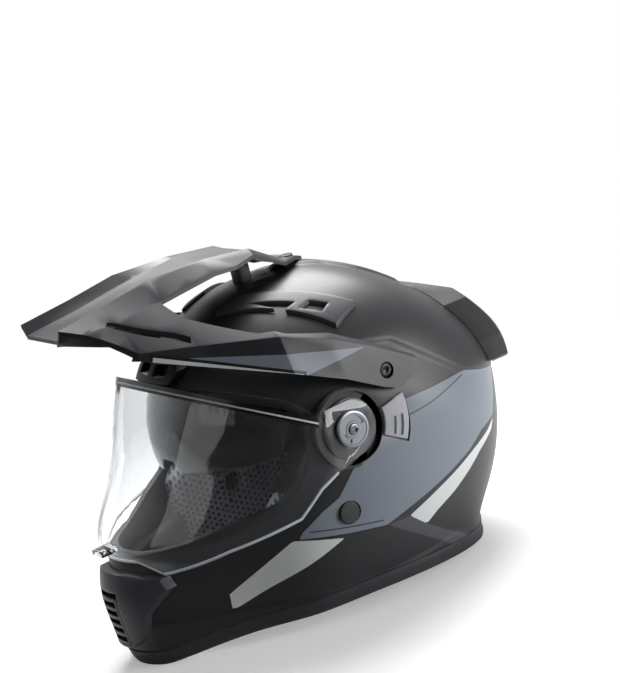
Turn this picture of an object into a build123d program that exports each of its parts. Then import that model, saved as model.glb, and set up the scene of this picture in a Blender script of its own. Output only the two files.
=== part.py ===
from build123d import *
import os
from math import cos, radians, sin, sqrt

os.makedirs("parts", exist_ok=True)

# Dual sport helmet standing on its bottom edge, in millimetres.
# -Y is the front, +X is the wearer's left, +Z is up.

# Shell
shell_height = 251.0
shell_half_width = 119.5
front_reach = 183.0
rear_reach = 178.0
shell_wall = 4.0
seat_gap = 0.3
overrun = 30.0

# Bottom edge: it stands on the chin and on the neck, and arches up between them
rim_rise = 13.0
rim_front = 168.0
rim_middle = 35.0
rim_rear = 105.0
trim_lip = 2.0
trim_height = 12.0
trim_proud = 2.2

# Shield pivots, which the inner sun visor and its lever share
pivot_y = -14.0
pivot_z = 145.0
seat_x = 113.5
seat_radius = 28.2
pocket_floor = 2.5
pocket_wall = 2.0
base_plate_thickness = 2.0
base_plate_radius = 23.0
hub_radius = 9.0
hub_clearance = 0.25
cap_radius = 14.0
cap_thickness = 2.3
running_gap = 0.3

# Height, front reach, rear reach, half width, place of the widest point, and how round the plan is
# (0 is the wedge of the chin bar), from the bottom edge to the crown
level_shares = (
    (0.0, 0.962, 0.742, 0.862, 0.045, 0.0),
    (0.08, 0.989, 0.758, 0.904, 0.056, 0.0),
    (0.179, 1.0, 0.854, 0.95, 0.079, 0.0),
    (0.299, 0.973, 0.938, 0.987, 0.112, 0.1),
    (0.418, 0.874, 0.983, 1.0, 0.135, 0.6),
    (0.538, 0.781, 1.0, 1.0, 0.146, 1.0),
    (0.657, 0.699, 0.927, 0.962, 0.146, 1.0),
    (0.757, 0.612, 0.798, 0.895, 0.146, 1.0),
    (0.837, 0.525, 0.663, 0.799, 0.14, 1.0),
    (0.9, 0.432, 0.539, 0.669, 0.135, 1.0),
    (0.948, 0.328, 0.421, 0.519, 0.135, 1.0),
    (0.984, 0.208, 0.298, 0.335, 0.135, 1.0),
    (1.0, 0.08, 0.21, 0.17, 0.135, 1.0),
)
# Plan outline of the left half: share of the half width, share of the reach from the widest place
wedge_plan_shares = ((0.0, 1.0), (0.2, 0.965), (0.39, 0.83), (0.52, 0.7), (0.7, 0.545),
                     (0.86, 0.41), (0.955, 0.22), (1.0, 0.0))
round_plan_shares = ((0.0, 1.0), (0.2, 0.98), (0.39, 0.92), (0.52, 0.854), (0.7, 0.714),
                     (0.86, 0.51), (0.955, 0.297), (1.0, 0.0))
rear_plan_shares = ((0.955, 0.368), (0.86, 0.587), (0.72, 0.759), (0.52, 0.896), (0.3, 0.972),
                    (0.0, 1.0))


def helmet_form(inset):
    """The closed form of the helmet with its outside drawn in by inset."""
    half_width = shell_half_width - inset
    front = front_reach - inset
    rear = rear_reach - inset
    with BuildPart() as form:
        for level, front_share, rear_share, width_share, widest_share, round_share in level_shares:
            widest = widest_share * rear
            width = width_share * half_width
            forward = widest + front_share * front
            backward = rear_share * rear - widest
            points = []
            for wedge, rounded in zip(wedge_plan_shares, round_plan_shares):
                reach = wedge[1] + (rounded[1] - wedge[1]) * round_share
                points.append((wedge[0] * width, widest - reach * forward))
            for across, reach in rear_plan_shares:
                points.append((across * width, widest + reach * backward))
            with BuildSketch(Plane.XY.offset(level * (shell_height - inset))):
                with BuildLine():
                    Spline(*points, tangents=((1, 0), (-1, 0)), tangent_scalars=(1, 1))
                    mirror(about=Plane.YZ)
                make_face()
        loft()
    return form.part


def side_prism(points, reach, corner=0.0, grow=0.0):
    """A side outline, as (y, z) points, run across the helmet to reach on both sides."""
    with BuildPart() as prism:
        with BuildSketch(Plane.YZ):
            with BuildLine():
                Polyline(*points, close=True)
            make_face()
            if corner > 0:
                fillet(vertices(), corner)
            if grow != 0:
                offset(amount=grow)
        extrude(amount=reach, both=True)
    return prism.part


def plan_prism(points, low, high):
    """A plan outline, as (x, y) points, run from the height low to the height high."""
    with BuildPart() as prism:
        with BuildSketch(Plane.XY.offset(low)):
            with BuildLine():
                Polyline(*points, close=True)
            make_face()
        extrude(amount=high - low)
    return prism.part


def front_prism(points, near, far):
    """A front outline, as (x, z) points, run from y = near to y = far."""
    with BuildPart() as prism:
        with BuildSketch(Plane.XZ.offset(-near)):
            with BuildLine():
                Polyline(*points, close=True)
            make_face()
        extrude(amount=near - far)
    return prism.part


def both_sides(points):
    """An outline that runs from the middle plane to the middle plane, closed by its mirror image."""
    return list(points) + [(-across, along) for across, along in reversed(points) if across != 0]


def sized(points, across, along):
    """Shares of two sizes turned into an outline."""
    return [(first * across, second * along) for first, second in points]


def rim_prism(rise):
    """Everything under the arched bottom edge raised by rise."""
    with BuildPart() as prism:
        with BuildSketch(Plane.YZ):
            with BuildLine():
                floor = -overrun
                Polyline((-rim_front, rise), (-front_reach - overrun, rise),
                         (-front_reach - overrun, floor), (rear_reach + overrun, floor),
                         (rear_reach + overrun, rise), (rim_rear, rise))
                ThreePointArc((rim_rear, rise), (-rim_middle, rim_rise + rise), (-rim_front, rise))
            make_face()
        extrude(amount=shell_half_width + overrun, both=True)
    return prism.part


def arch_prism(rise):
    """The arch alone, between the chin and the neck, raised by rise."""
    with BuildPart() as prism:
        with BuildSketch(Plane.YZ):
            with BuildLine():
                Polyline((-rim_front, rise), (-rim_front, -overrun), (rim_rear, -overrun),
                         (rim_rear, rise))
                ThreePointArc((rim_rear, rise), (-rim_middle, rim_rise + rise), (-rim_front, rise))
            make_face()
        extrude(amount=shell_half_width + overrun, both=True)
    return prism.part


outer_form = helmet_form(0)
inner_form = helmet_form(shell_wall)
seat_form = helmet_form(-seat_gap)

# Eyeport outline, as shares of the front reach and of the shell height
eyeport_shares = ((-1.16, 0.335), (-0.745, 0.358), (-0.565, 0.392), (-0.415, 0.418),
                  (-0.315, 0.486), (-0.24, 0.582), (-0.22, 0.645), (-0.285, 0.693),
                  (-0.44, 0.749), (-0.62, 0.788), (-1.16, 0.84))
eyeport_corner = 7.0
eyeport_points = sized(eyeport_shares, front_reach, shell_height)
cross_reach = shell_half_width + overrun
eyeport_cut = side_prism(eyeport_points, cross_reach, eyeport_corner)

# Sun visor lever: a fan behind the pivot, with its slot in the shell
lever_inner = 29.0
lever_outer = 51.0
lever_thickness = 2.6
lever_low_angle = -30.0
lever_high_angle = 12.0
lever_travel = 14.0
lever_floor_x = 116.9
lever_margin = 1.2

# Plugs behind the lower corners of the eyeport
plug_y = -30.0
plug_z = 83.0
plug_radius = 8.8
plug_stem_radius = 4.0
plug_seat_x = 110.2
plug_head = 2.6

# Peak screws
screw_y = 26.0
screw_z = 177.0
screw_radius = 2.5
screw_head_radius = 5.5
screw_head = 3.0
boss_radius = 8.0
boss_seat_x = 111.0
top_screw_y = 36.0

# Chin vent
chin_slot_half_width = 11.0
chin_slot_height = 7.0
chin_slot_pitch = 12.0
chin_slot_count = 3
chin_slot_z = 32.0


def pivot_plane(x):
    """The plane across the pivot axis at x, with its own x axis pointing to the rear."""
    return Plane(origin=(x, pivot_y, pivot_z), x_dir=(0, 1, 0), z_dir=(1, 0, 0))


def fan(inner, outer, low_angle, high_angle, near, far):
    """A fan about the pivot axis, between two radii and two angles, from x = near to x = far."""
    with BuildPart() as sector:
        with BuildSketch(pivot_plane(near)):
            with BuildLine():
                start = (inner * cos(radians(low_angle)), inner * sin(radians(low_angle)))
                middle = radians((low_angle + high_angle) / 2)
                CenterArc((0, 0), inner, low_angle, high_angle - low_angle)
                CenterArc((0, 0), outer, low_angle, high_angle - low_angle)
                Line(start, (outer * cos(radians(low_angle)), outer * sin(radians(low_angle))))
                Line((inner * cos(radians(high_angle)), inner * sin(radians(high_angle))),
                     (outer * cos(radians(high_angle)), outer * sin(radians(high_angle))))
            make_face()
        extrude(amount=far - near)
    return sector.part


def disc(y, z, radius, near, far):
    """A round disc or pin along X, from x = near to x = far."""
    with BuildPart() as round_piece:
        with BuildSketch(Plane(origin=(near, y, z), x_dir=(0, 1, 0), z_dir=(1, 0, 0))):
            Circle(radius)
        extrude(amount=far - near)
    return round_piece.part


def mirrored(piece):
    """The same piece on the right side."""
    return piece.mirror(Plane.YZ)


outside_x = shell_half_width + overrun
pivot_flat = disc(pivot_y, pivot_z, seat_radius, seat_x, outside_x)
plug_flat = disc(plug_y, plug_z, plug_radius + seat_gap, plug_seat_x, outside_x)
plug_bore = disc(plug_y, plug_z, plug_stem_radius, 0, outside_x)
boss_flat = disc(screw_y, screw_z, boss_radius + seat_gap, boss_seat_x, outside_x)
screw_bore = disc(screw_y, screw_z, screw_radius, 0, outside_x)
with BuildPart() as top_screw_bore:
    with BuildSketch(Plane.XY.offset(shell_height / 2)):
        with Locations((0, top_screw_y)):
            Circle(screw_radius)
    extrude(amount=shell_height)
lever_slot = fan(lever_inner - lever_margin, lever_outer + lever_margin,
                 lever_low_angle - lever_margin, lever_high_angle + lever_travel + lever_margin,
                 lever_floor_x, outside_x)
chin_slots = []
for index in range(chin_slot_count):
    slot_low = chin_slot_z + index * chin_slot_pitch - chin_slot_height / 2
    slot_high = slot_low + chin_slot_height
    chin_slots.append(front_prism(
        [(-chin_slot_half_width, slot_low), (chin_slot_half_width, slot_low),
         (chin_slot_half_width, slot_high), (-chin_slot_half_width, slot_high)], 0, -outside_x * 2))

with BuildPart() as pivot_bosses:
    add(disc(pivot_y, pivot_z, seat_radius + pocket_wall, seat_x - pocket_floor, outside_x))
    add(outer_form, mode=Mode.INTERSECT)
    mirror(about=Plane.YZ)
with BuildPart() as shell:
    add(outer_form)
    add(inner_form, mode=Mode.SUBTRACT)
    add(pivot_bosses.part)
    add(rim_prism(trim_lip), mode=Mode.SUBTRACT)
    add(eyeport_cut, mode=Mode.SUBTRACT)
    for cutter in (pivot_flat, plug_flat, plug_bore, boss_flat, screw_bore):
        add(cutter, mode=Mode.SUBTRACT)
        add(mirrored(cutter), mode=Mode.SUBTRACT)
    add(lever_slot, mode=Mode.SUBTRACT)
    for cutter in chin_slots:
        add(cutter, mode=Mode.SUBTRACT)
shell.part.label = "shell"
export_step(shell.part, "parts/shell.step")

# The trim wraps the edge: a band over the outside, and a lip under the wall
with BuildPart() as wrapped_wall:
    add(seat_form)
    add(rim_prism(trim_lip - seat_gap), mode=Mode.SUBTRACT)
with BuildPart() as base_trim:
    add(rim_prism(trim_height))
    add(helmet_form(-trim_proud), mode=Mode.INTERSECT)
    add(wrapped_wall.part, mode=Mode.SUBTRACT)
    add(inner_form, mode=Mode.SUBTRACT)
    add(arch_prism(0), mode=Mode.SUBTRACT)
base_trim.part.label = "base_trim"
export_step(base_trim.part, "parts/base_trim.step")

# Rubber seal clipped over the edge of the eyeport
seal_proud = 1.2
seal_cover = 5.0
seal_lip = 1.5
with BuildPart() as eyeport_seal:
    add(helmet_form(-seal_proud))
    add(helmet_form(shell_wall + seal_proud), mode=Mode.SUBTRACT)
    add(side_prism(eyeport_points, cross_reach, eyeport_corner, seal_cover), mode=Mode.INTERSECT)
    add(side_prism(eyeport_points, cross_reach, eyeport_corner, -seal_lip), mode=Mode.SUBTRACT)
    add(shell.part, mode=Mode.SUBTRACT)
eyeport_seal.part.label = "eyeport_seal"
export_step(eyeport_seal.part, "parts/eyeport_seal.step")

# Base plate with its hub, cap and screw at each pivot
hub_top_x = seat_x + base_plate_thickness + running_gap
shield_thickness = 2.2
shield_inner_x = hub_top_x
shield_outer_x = shield_inner_x + shield_thickness
cap_x = shield_outer_x + running_gap
cap_screw_radius = 2.0
cap_screw_head_radius = 4.2
cap_screw_head = 0.9
cap_screw_length = 7.0
for side in ("left", "right"):
    with BuildPart() as shield_base_plate:
        add(disc(pivot_y, pivot_z, base_plate_radius, seat_x, seat_x + base_plate_thickness))
        add(disc(pivot_y, pivot_z, hub_radius, seat_x, cap_x))
        add(disc(pivot_y, pivot_z, cap_screw_radius, 0, outside_x), mode=Mode.SUBTRACT)
        if side == "right":
            mirror(about=Plane.YZ, mode=Mode.REPLACE)
    shield_base_plate.part.label = "shield_base_plate_" + side
    export_step(shield_base_plate.part, "parts/shield_base_plate_" + side + ".step")
    with BuildPart() as shield_cap:
        add(disc(pivot_y, pivot_z, cap_radius, cap_x, cap_x + cap_thickness))
        fillet(shield_cap.faces().sort_by(Axis.X)[-1].edges(), cap_thickness / 3)
        add(disc(pivot_y, pivot_z, cap_screw_radius, 0, outside_x), mode=Mode.SUBTRACT)
        if side == "right":
            mirror(about=Plane.YZ, mode=Mode.REPLACE)
    shield_cap.part.label = "shield_cap_" + side
    export_step(shield_cap.part, "parts/shield_cap_" + side + ".step")

with BuildPart() as cap_screws:
    cap_face_x = cap_x + cap_thickness
    add(disc(pivot_y, pivot_z, cap_screw_radius, cap_face_x - cap_screw_length, cap_face_x))
    add(disc(pivot_y, pivot_z, cap_screw_head_radius, cap_face_x, cap_face_x + cap_screw_head))
    mirror(about=Plane.YZ)
cap_screws.part.label = "shield_cap_screws"
export_step(cap_screws.part, "parts/shield_cap_screws.step")

# Clear face shield: height and reach in front of the pivot, as shares of the shell's
shield_level_shares = ((0.28, 0.885), (0.36, 0.89), (0.418, 0.858), (0.482, 0.793), (0.598, 0.705),
                       (0.685, 0.65), (0.757, 0.6), (0.825, 0.55), (0.87, 0.52))
shield_plan_shares = ((0.0, 1.0), (0.33, 0.944), (0.6, 0.8), (0.83, 0.558), (0.955, 0.297),
                      (1.0, 0.0))
shield_shoulder = 16.0
shield_rear = 26.0
shield_ear_radius = 22.0
shield_outline_shares = (
    (-0.246, 0.661), (-0.552, 0.793), (-0.683, 0.849), (-1.257, 0.996), (-1.257, 0.345),
    (-0.935, 0.345), (-0.880, 0.303), (-0.672, 0.343), (-0.388, 0.375), (-0.273, 0.438),
    (-0.186, 0.466), (-0.115, 0.476), (-0.022, 0.502), (-0.077, 0.665))
shield_tab_z = 93.0
shield_tab_thickness = 4.0
shield_tab_half_width = 14.0
shield_tab_reach = 188.0


def shield_form(inset, rear):
    """The closed form of the shield, from its front to a flat face behind the pivots."""
    width = shield_outer_x - inset
    shoulder_y = pivot_y - shield_shoulder
    with BuildPart() as form:
        for level, reach_share in shield_level_shares:
            reach = reach_share * front_reach - inset - shield_shoulder
            points = [(across * width, shoulder_y - along * reach)
                      for across, along in shield_plan_shares]
            with BuildSketch(Plane.XY.offset(level * shell_height)):
                with BuildLine():
                    Spline(*points, tangents=((1, 0), (0, 1)), tangent_scalars=(1, 1))
                    Polyline((width, shoulder_y), (width, rear), (0, rear))
                    mirror(about=Plane.YZ)
                make_face()
        loft()
    return form.part


shield_inner_form = shield_form(shield_thickness, shield_rear + overrun)
shield_outline = side_prism(sized(shield_outline_shares, front_reach, shell_height), cross_reach)
with BuildPart() as shield_side:
    add(shield_outline)
    add(disc(pivot_y, pivot_z, shield_ear_radius, -outside_x, outside_x))
with BuildPart() as shield_tab:
    tab_back = pivot_y - shield_shoulder
    tab_tip = 0.6 * shield_tab_half_width
    add(plan_prism([(-shield_tab_half_width, tab_back), (-tab_tip, -shield_tab_reach),
                    (tab_tip, -shield_tab_reach), (shield_tab_half_width, tab_back)],
                   shield_tab_z, shield_tab_z + shield_tab_thickness))
with BuildPart() as face_shield:
    add(shield_form(0, shield_rear))
    add(shield_side.part, mode=Mode.INTERSECT)
    add(shield_tab.part)
    add(shield_inner_form, mode=Mode.SUBTRACT)
    add(disc(pivot_y, pivot_z, hub_radius + hub_clearance, -outside_x, outside_x),
        mode=Mode.SUBTRACT)
face_shield.part.label = "face_shield"
export_step(face_shield.part, "parts/face_shield.step")

# Lever of the sun visor
with BuildPart() as sun_visor_lever:
    lever_x = lever_floor_x + running_gap
    add(fan(lever_inner, lever_outer, lever_low_angle, lever_high_angle, lever_x,
            lever_x + lever_thickness))
    chamfer(sun_visor_lever.faces().sort_by(Axis.X)[-1].edges(), lever_thickness / 4)
sun_visor_lever.part.label = "sun_visor_lever"
export_step(sun_visor_lever.part, "parts/sun_visor_lever.step")

# Smoked sun visor: a bowl turned about the pivot axis, which slides up between shell and liner
visor_radius = 96.0
visor_spread = 100.0
visor_thickness = 2.0
visor_half_width = 88.0
visor_top_angle = 56.0
visor_low_angle = -9.0
visor_travel = 45.0
visor_eye_radius = 14.0
visor_pin_radius = 4.0
visor_pin_clearance = 0.2
visor_bay_gap = 1.5
visor_bay_margin_angle = 4.0
visor_nose_half_width = 24.0
visor_nose_rise = 11.0


def bowl_radius(x, inset):
    """Distance of the bowl from the pivot axis at x, with its outside drawn in by inset."""
    return (visor_radius - inset) * sqrt(1 - (x / (visor_spread - inset)) ** 2)


def bowl_points(width, inset):
    """Points on the bowl's profile from the middle to its side."""
    return [(share * width, bowl_radius(share * width, inset)) for share in (0, 0.3, 0.6, 0.85, 1)]


def pivot_radial_plane(angle):
    """The plane through the pivot axis at an angle above the front, with y pointing outward."""
    return Plane(origin=(0, pivot_y, pivot_z), x_dir=(1, 0, 0),
                 z_dir=(0, -sin(radians(angle)), -cos(radians(angle))))


pivot_axis = Axis((0, pivot_y, pivot_z), (1, 0, 0))
ear_inner_x = visor_half_width - visor_thickness
with BuildPart() as sun_visor:
    with BuildSketch(pivot_radial_plane(visor_top_angle)):
        with BuildLine():
            outer_points = bowl_points(visor_half_width, 0)
            inner_points = bowl_points(ear_inner_x, visor_thickness)
            Spline(*outer_points, tangents=((1, 0), (0.5, -1)), tangent_scalars=(1, 1))
            Spline(*inner_points, tangents=((1, 0), (0.5, -1)), tangent_scalars=(1, 1))
            Polyline(outer_points[-1], (visor_half_width, visor_eye_radius / 2),
                     (ear_inner_x, visor_eye_radius / 2), inner_points[-1])
            mirror(about=Plane.YZ)
        make_face()
    revolve(axis=pivot_axis, revolution_arc=visor_top_angle - visor_low_angle)
    for near, far in ((ear_inner_x, visor_half_width), (-visor_half_width, -ear_inner_x)):
        add(disc(pivot_y, pivot_z, visor_eye_radius, near, far))
    add(disc(pivot_y, pivot_z, visor_pin_radius + visor_pin_clearance, -outside_x, outside_x),
        mode=Mode.SUBTRACT)
    nose_z = pivot_z + visor_radius * sin(radians(visor_low_angle))
    add(front_prism([(-visor_nose_half_width, nose_z - visor_nose_rise),
                     (visor_nose_half_width, nose_z - visor_nose_rise),
                     (visor_nose_half_width / 3, nose_z + visor_nose_rise),
                     (-visor_nose_half_width / 3, nose_z + visor_nose_rise)],
                    pivot_y - visor_radius / 2, -outside_x), mode=Mode.SUBTRACT)
sun_visor.part.label = "sun_visor"
export_step(sun_visor.part, "parts/sun_visor.step")

with BuildPart() as visor_pins:
    pin_tip_x = ear_inner_x - visor_thickness
    add(disc(pivot_y, pivot_z, visor_pin_radius, pin_tip_x, seat_x))
    add(disc(pivot_y, pivot_z, visor_eye_radius, visor_half_width + running_gap,
             visor_half_width + running_gap + visor_thickness))
    mirror(about=Plane.YZ)
    add(shell.part, mode=Mode.SUBTRACT)
visor_pins.part.label = "sun_visor_pins"
export_step(visor_pins.part, "parts/sun_visor_pins.step")

# Room inside for the padded head
cavity_half_width = 82.0
cavity_half_length = 108.0
cavity_y = 10.0
cavity_height = 214.0
cavity_level_shares = ((0.0, 0.93), (0.35, 1.0), (0.6, 0.97), (0.78, 0.84), (0.9, 0.62),
                       (0.97, 0.36), (1.0, 0.12))


def cavity_form(inset):
    """The room for the head, drawn in by inset."""
    with BuildPart() as form:
        for level, share in cavity_level_shares:
            height = level * (cavity_height - inset)
            with BuildSketch(Plane(origin=(0, cavity_y, height))):
                Ellipse(share * (cavity_half_width - inset), share * (cavity_half_length - inset))
        loft()
    return form.part


def box_between(low, high):
    """A box between two corners."""
    with BuildPart() as block:
        with BuildSketch(Plane.XY.offset(low[2])):
            with Locations(((low[0] + high[0]) / 2, (low[1] + high[1]) / 2)):
                Rectangle(high[0] - low[0], high[1] - low[1])
        extrude(amount=high[2] - low[2])
    return block.part


# The bay that the sun visor slides in
with BuildPart() as visor_bay:
    bay_top_angle = visor_top_angle + visor_travel + visor_bay_margin_angle
    bay_low_angle = visor_low_angle - visor_bay_margin_angle
    bay_inner_x = ear_inner_x - visor_bay_gap
    bay_outer_x = visor_half_width + visor_thickness + visor_bay_gap
    with BuildSketch(pivot_radial_plane(bay_top_angle)):
        with BuildLine():
            bay_points = bowl_points(bay_inner_x, visor_thickness + visor_bay_gap)
            Spline(*bay_points, tangents=((1, 0), (0.5, -1)), tangent_scalars=(1, 1))
            Polyline(bay_points[-1], (bay_inner_x, 0), (bay_outer_x, 0),
                     (bay_outer_x, shell_half_width), (0, shell_half_width))
            mirror(about=Plane.YZ)
        make_face()
    revolve(axis=pivot_axis, revolution_arc=bay_top_angle - bay_low_angle)
    for near, far in ((bay_inner_x, bay_outer_x), (-bay_outer_x, -bay_inner_x)):
        add(disc(pivot_y, pivot_z, visor_eye_radius + visor_bay_gap, near, far))

# Foam liners: the main one over the head, and one in the chin bar
liner_gap = 0.4
liner_low_z = 32.0
cheek_high_z = 106.0
cheek_low_z = 25.0
cheek_rear_y = 42.0
cheek_front_y = -78.0
pad_gap = 0.5
foam_form = helmet_form(shell_wall + liner_gap)
head_room = cavity_form(0)
with BuildPart() as foam_liner:
    foam_half_width = seat_x - pocket_floor - liner_gap
    add(box_between((-foam_half_width, -front_reach, liner_low_z),
                    (foam_half_width, rear_reach, shell_height + overrun)))
    add(foam_form, mode=Mode.INTERSECT)
    add(head_room, mode=Mode.SUBTRACT)
    add(box_between((-outside_x, -front_reach - overrun, -overrun),
                    (outside_x, cheek_rear_y, cheek_high_z)), mode=Mode.SUBTRACT)
    add(side_prism(eyeport_points, cross_reach, eyeport_corner, seal_cover),
        mode=Mode.SUBTRACT)
    add(visor_bay.part, mode=Mode.SUBTRACT)
    add(disc(pivot_y, pivot_z, visor_pin_radius + visor_pin_clearance, -outside_x, outside_x),
        mode=Mode.SUBTRACT)
foam_liner.part.label = "foam_liner"
export_step(foam_liner.part, "parts/foam_liner.step")

# Chin vent slider behind its slots, and the chin bar's own foam with the slit that it runs in
slider_half_width = 14.0
slider_thickness = 2.0
slider_y = -165.8
slider_low_z = 26.5
slider_high_z = 62.0
slider_travel = 6.0
slider_stem_half_width = 4.0
slider_knob_z = 74.0
slider_top_z = 80.0
slider_knob_depth = 5.0
chin_foam_depth = 22.0
chin_foam_low_z = 20.0
chin_foam_high_z = 72.0
with BuildPart() as chin_foam:
    slit_near = slider_y - running_gap
    slit_far = slider_y + slider_thickness + running_gap
    slit_half_width = slider_half_width + running_gap
    stem_half_width = slider_stem_half_width + running_gap
    add(foam_form)
    add(helmet_form(chin_foam_depth), mode=Mode.SUBTRACT)
    add(box_between((-outside_x, -front_reach - overrun, chin_foam_low_z),
                    (outside_x, cheek_front_y - pad_gap, chin_foam_high_z)), mode=Mode.INTERSECT)
    add(side_prism(eyeport_points, cross_reach, eyeport_corner, seal_cover + seat_gap),
        mode=Mode.SUBTRACT)
    add(box_between((-slit_half_width, slit_near, slider_low_z - running_gap),
                    (slit_half_width, slit_far, slider_high_z + slider_travel + running_gap)),
        mode=Mode.SUBTRACT)
    add(box_between((-stem_half_width, slit_near, slider_low_z),
                    (stem_half_width, slit_far, chin_foam_high_z + overrun)),
        mode=Mode.SUBTRACT)
    for cutter in chin_slots:
        add(cutter, mode=Mode.SUBTRACT)
chin_foam.part.label = "chin_foam"
export_step(chin_foam.part, "parts/chin_foam.step")

with BuildPart() as chin_vent_slider:
    slider_far = slider_y + slider_thickness
    add(box_between((-slider_half_width, slider_y, slider_low_z),
                    (slider_half_width, slider_far, slider_high_z)))
    add(box_between((-slider_stem_half_width, slider_y, slider_high_z),
                    (slider_stem_half_width, slider_far, slider_top_z)))
    add(box_between((-slider_stem_half_width, slider_far, slider_knob_z),
                    (slider_stem_half_width, slider_far + slider_knob_depth, slider_top_z)))
    for index in range(chin_slot_count):
        window_z = chin_slot_z + index * chin_slot_pitch
        window_height = chin_slot_pitch - chin_slot_height
        add(box_between((-chin_slot_half_width, slider_y, window_z - window_height / 2),
                        (chin_slot_half_width, slider_far, window_z + window_height / 2)),
            mode=Mode.SUBTRACT)
chin_vent_slider.part.label = "chin_vent_slider"
export_step(chin_vent_slider.part, "parts/chin_vent_slider.step")

# Chin strap: from the anchors inside the shell, along its wall and in under the chin
strap_y = -31.0
strap_width = 22.0
strap_thickness = 1.6
strap_top_z = 68.0
strap_anchor_z = 62.0
strap_anchor_radius = 9.0
strap_wall_x = 102.2
strap_bend_x = 98.0
strap_bend_z = 31.0
strap_corner_x = 92.0
strap_z = 20.0
strap_end_x = 28.0
strap_bend_radius = 8.0

# Padding: cheek pads, crown pad and neck roll
cheek_inner_x = 59.0
cheek_corner_x = 70.0
cheek_corner_y = 14.0
cheek_round = 9.0
strap_channel_x = 100.0
with BuildPart() as cheek_body:
    add(plan_prism([(cheek_corner_x, cheek_front_y), (outside_x, cheek_front_y),
                    (outside_x, cheek_rear_y - pad_gap), (cheek_corner_x, cheek_rear_y - pad_gap),
                    (cheek_inner_x, cheek_corner_y), (cheek_inner_x, cheek_front_y / 2)],
                   cheek_low_z, cheek_high_z - pad_gap))
    inner_edges = cheek_body.faces().sort_by(Axis.X)[0].edges()
    fillet(inner_edges, cheek_round)
for side in ("left", "right"):
    with BuildPart() as cheek_pad:
        add(foam_form)
        add(cheek_body.part, mode=Mode.INTERSECT)
        add(side_prism(eyeport_points, cross_reach, eyeport_corner, seal_cover + seat_gap),
            mode=Mode.SUBTRACT)
        add(disc(plug_y, plug_z, plug_radius, 0, outside_x), mode=Mode.SUBTRACT)
        strap_near_y = strap_y - strap_width / 2 - seat_gap
        strap_far_y = strap_y + strap_width / 2 + seat_gap
        add(box_between((strap_channel_x - strap_thickness * 4, strap_near_y, -overrun),
                        (outside_x, strap_far_y, strap_top_z + strap_anchor_radius)),
            mode=Mode.SUBTRACT)
        if side == "right":
            mirror(about=Plane.YZ, mode=Mode.REPLACE)
    cheek_pad.part.label = "cheek_pad_" + side
    export_step(cheek_pad.part, "parts/cheek_pad_" + side + ".step")

crown_pad_thickness = 9.0
crown_pad_low_z = 122.0
with BuildPart() as crown_pad:
    add(cavity_form(seat_gap))
    add(cavity_form(crown_pad_thickness), mode=Mode.SUBTRACT)
    add(box_between((-outside_x, -front_reach, crown_pad_low_z),
                    (outside_x, rear_reach, shell_height)), mode=Mode.INTERSECT)
    add(side_prism(eyeport_points, cross_reach, eyeport_corner, 2 * seal_cover),
        mode=Mode.SUBTRACT)
crown_pad.part.label = "crown_pad"
export_step(crown_pad.part, "parts/crown_pad.step")

with BuildPart() as neck_roll:
    add(box_between((-outside_x, cheek_rear_y + pad_gap, 2 * trim_lip),
                    (outside_x, rear_reach, liner_low_z - seat_gap)))
    add(foam_form, mode=Mode.INTERSECT)
    add(head_room, mode=Mode.SUBTRACT)
    add(arch_prism(2 * trim_lip), mode=Mode.SUBTRACT)
neck_roll.part.label = "neck_roll"
export_step(neck_roll.part, "parts/neck_roll.step")

for side in ("left", "right"):
    with BuildPart() as chin_strap:
        with BuildSketch(Plane.XZ.offset(-strap_y - strap_width / 2)):
            with BuildLine():
                FilletPolyline((strap_wall_x, strap_top_z), (strap_wall_x, strap_anchor_z - strap_width / 2),
                               (strap_bend_x, strap_bend_z), (strap_corner_x, strap_z),
                               (strap_end_x, strap_z), radius=strap_bend_radius)
            trace(line_width=strap_thickness)
        extrude(amount=strap_width)
        if side == "right":
            mirror(about=Plane.YZ, mode=Mode.REPLACE)
    chin_strap.part.label = "chin_strap_" + side
    export_step(chin_strap.part, "parts/chin_strap_" + side + ".step")

with BuildPart() as strap_anchors:
    add(disc(strap_y, strap_anchor_z, strap_anchor_radius, strap_wall_x + strap_thickness / 2,
             outside_x))
    add(inner_form, mode=Mode.INTERSECT)
    mirror(about=Plane.YZ)
strap_anchors.part.label = "strap_anchors"
export_step(strap_anchors.part, "parts/strap_anchors.step")

# Buckle: a toothed tongue on the left strap slides into the body on the right one
buckle_half_width = 13.0
buckle_low_z = 15.6
buckle_high_z = 24.0
buckle_near_x = 4.0
tongue_half_width = 9.0
tongue_thickness = 2.4
tongue_tip_x = -18.0
tongue_tooth_pitch = 4.0
tongue_tooth_depth = 0.8
tongue_tooth_count = 6
buckle_hinge_x = -26.0
buckle_lever_thickness = 2.7
buckle_lever_length = 16.0
buckle_hinge_z = buckle_low_z - running_gap - buckle_lever_thickness / 2
buckle_pin_radius = 0.9
buckle_ear = 2.6
tab_length = 9.0
tab_thickness = 1.0
tab_half_width = 7.0


def strap_box(low_x, high_x, half_width, low_z, high_z):
    """A box centred on the strap."""
    return box_between((low_x, strap_y - half_width, low_z), (high_x, strap_y + half_width, high_z))


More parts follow.
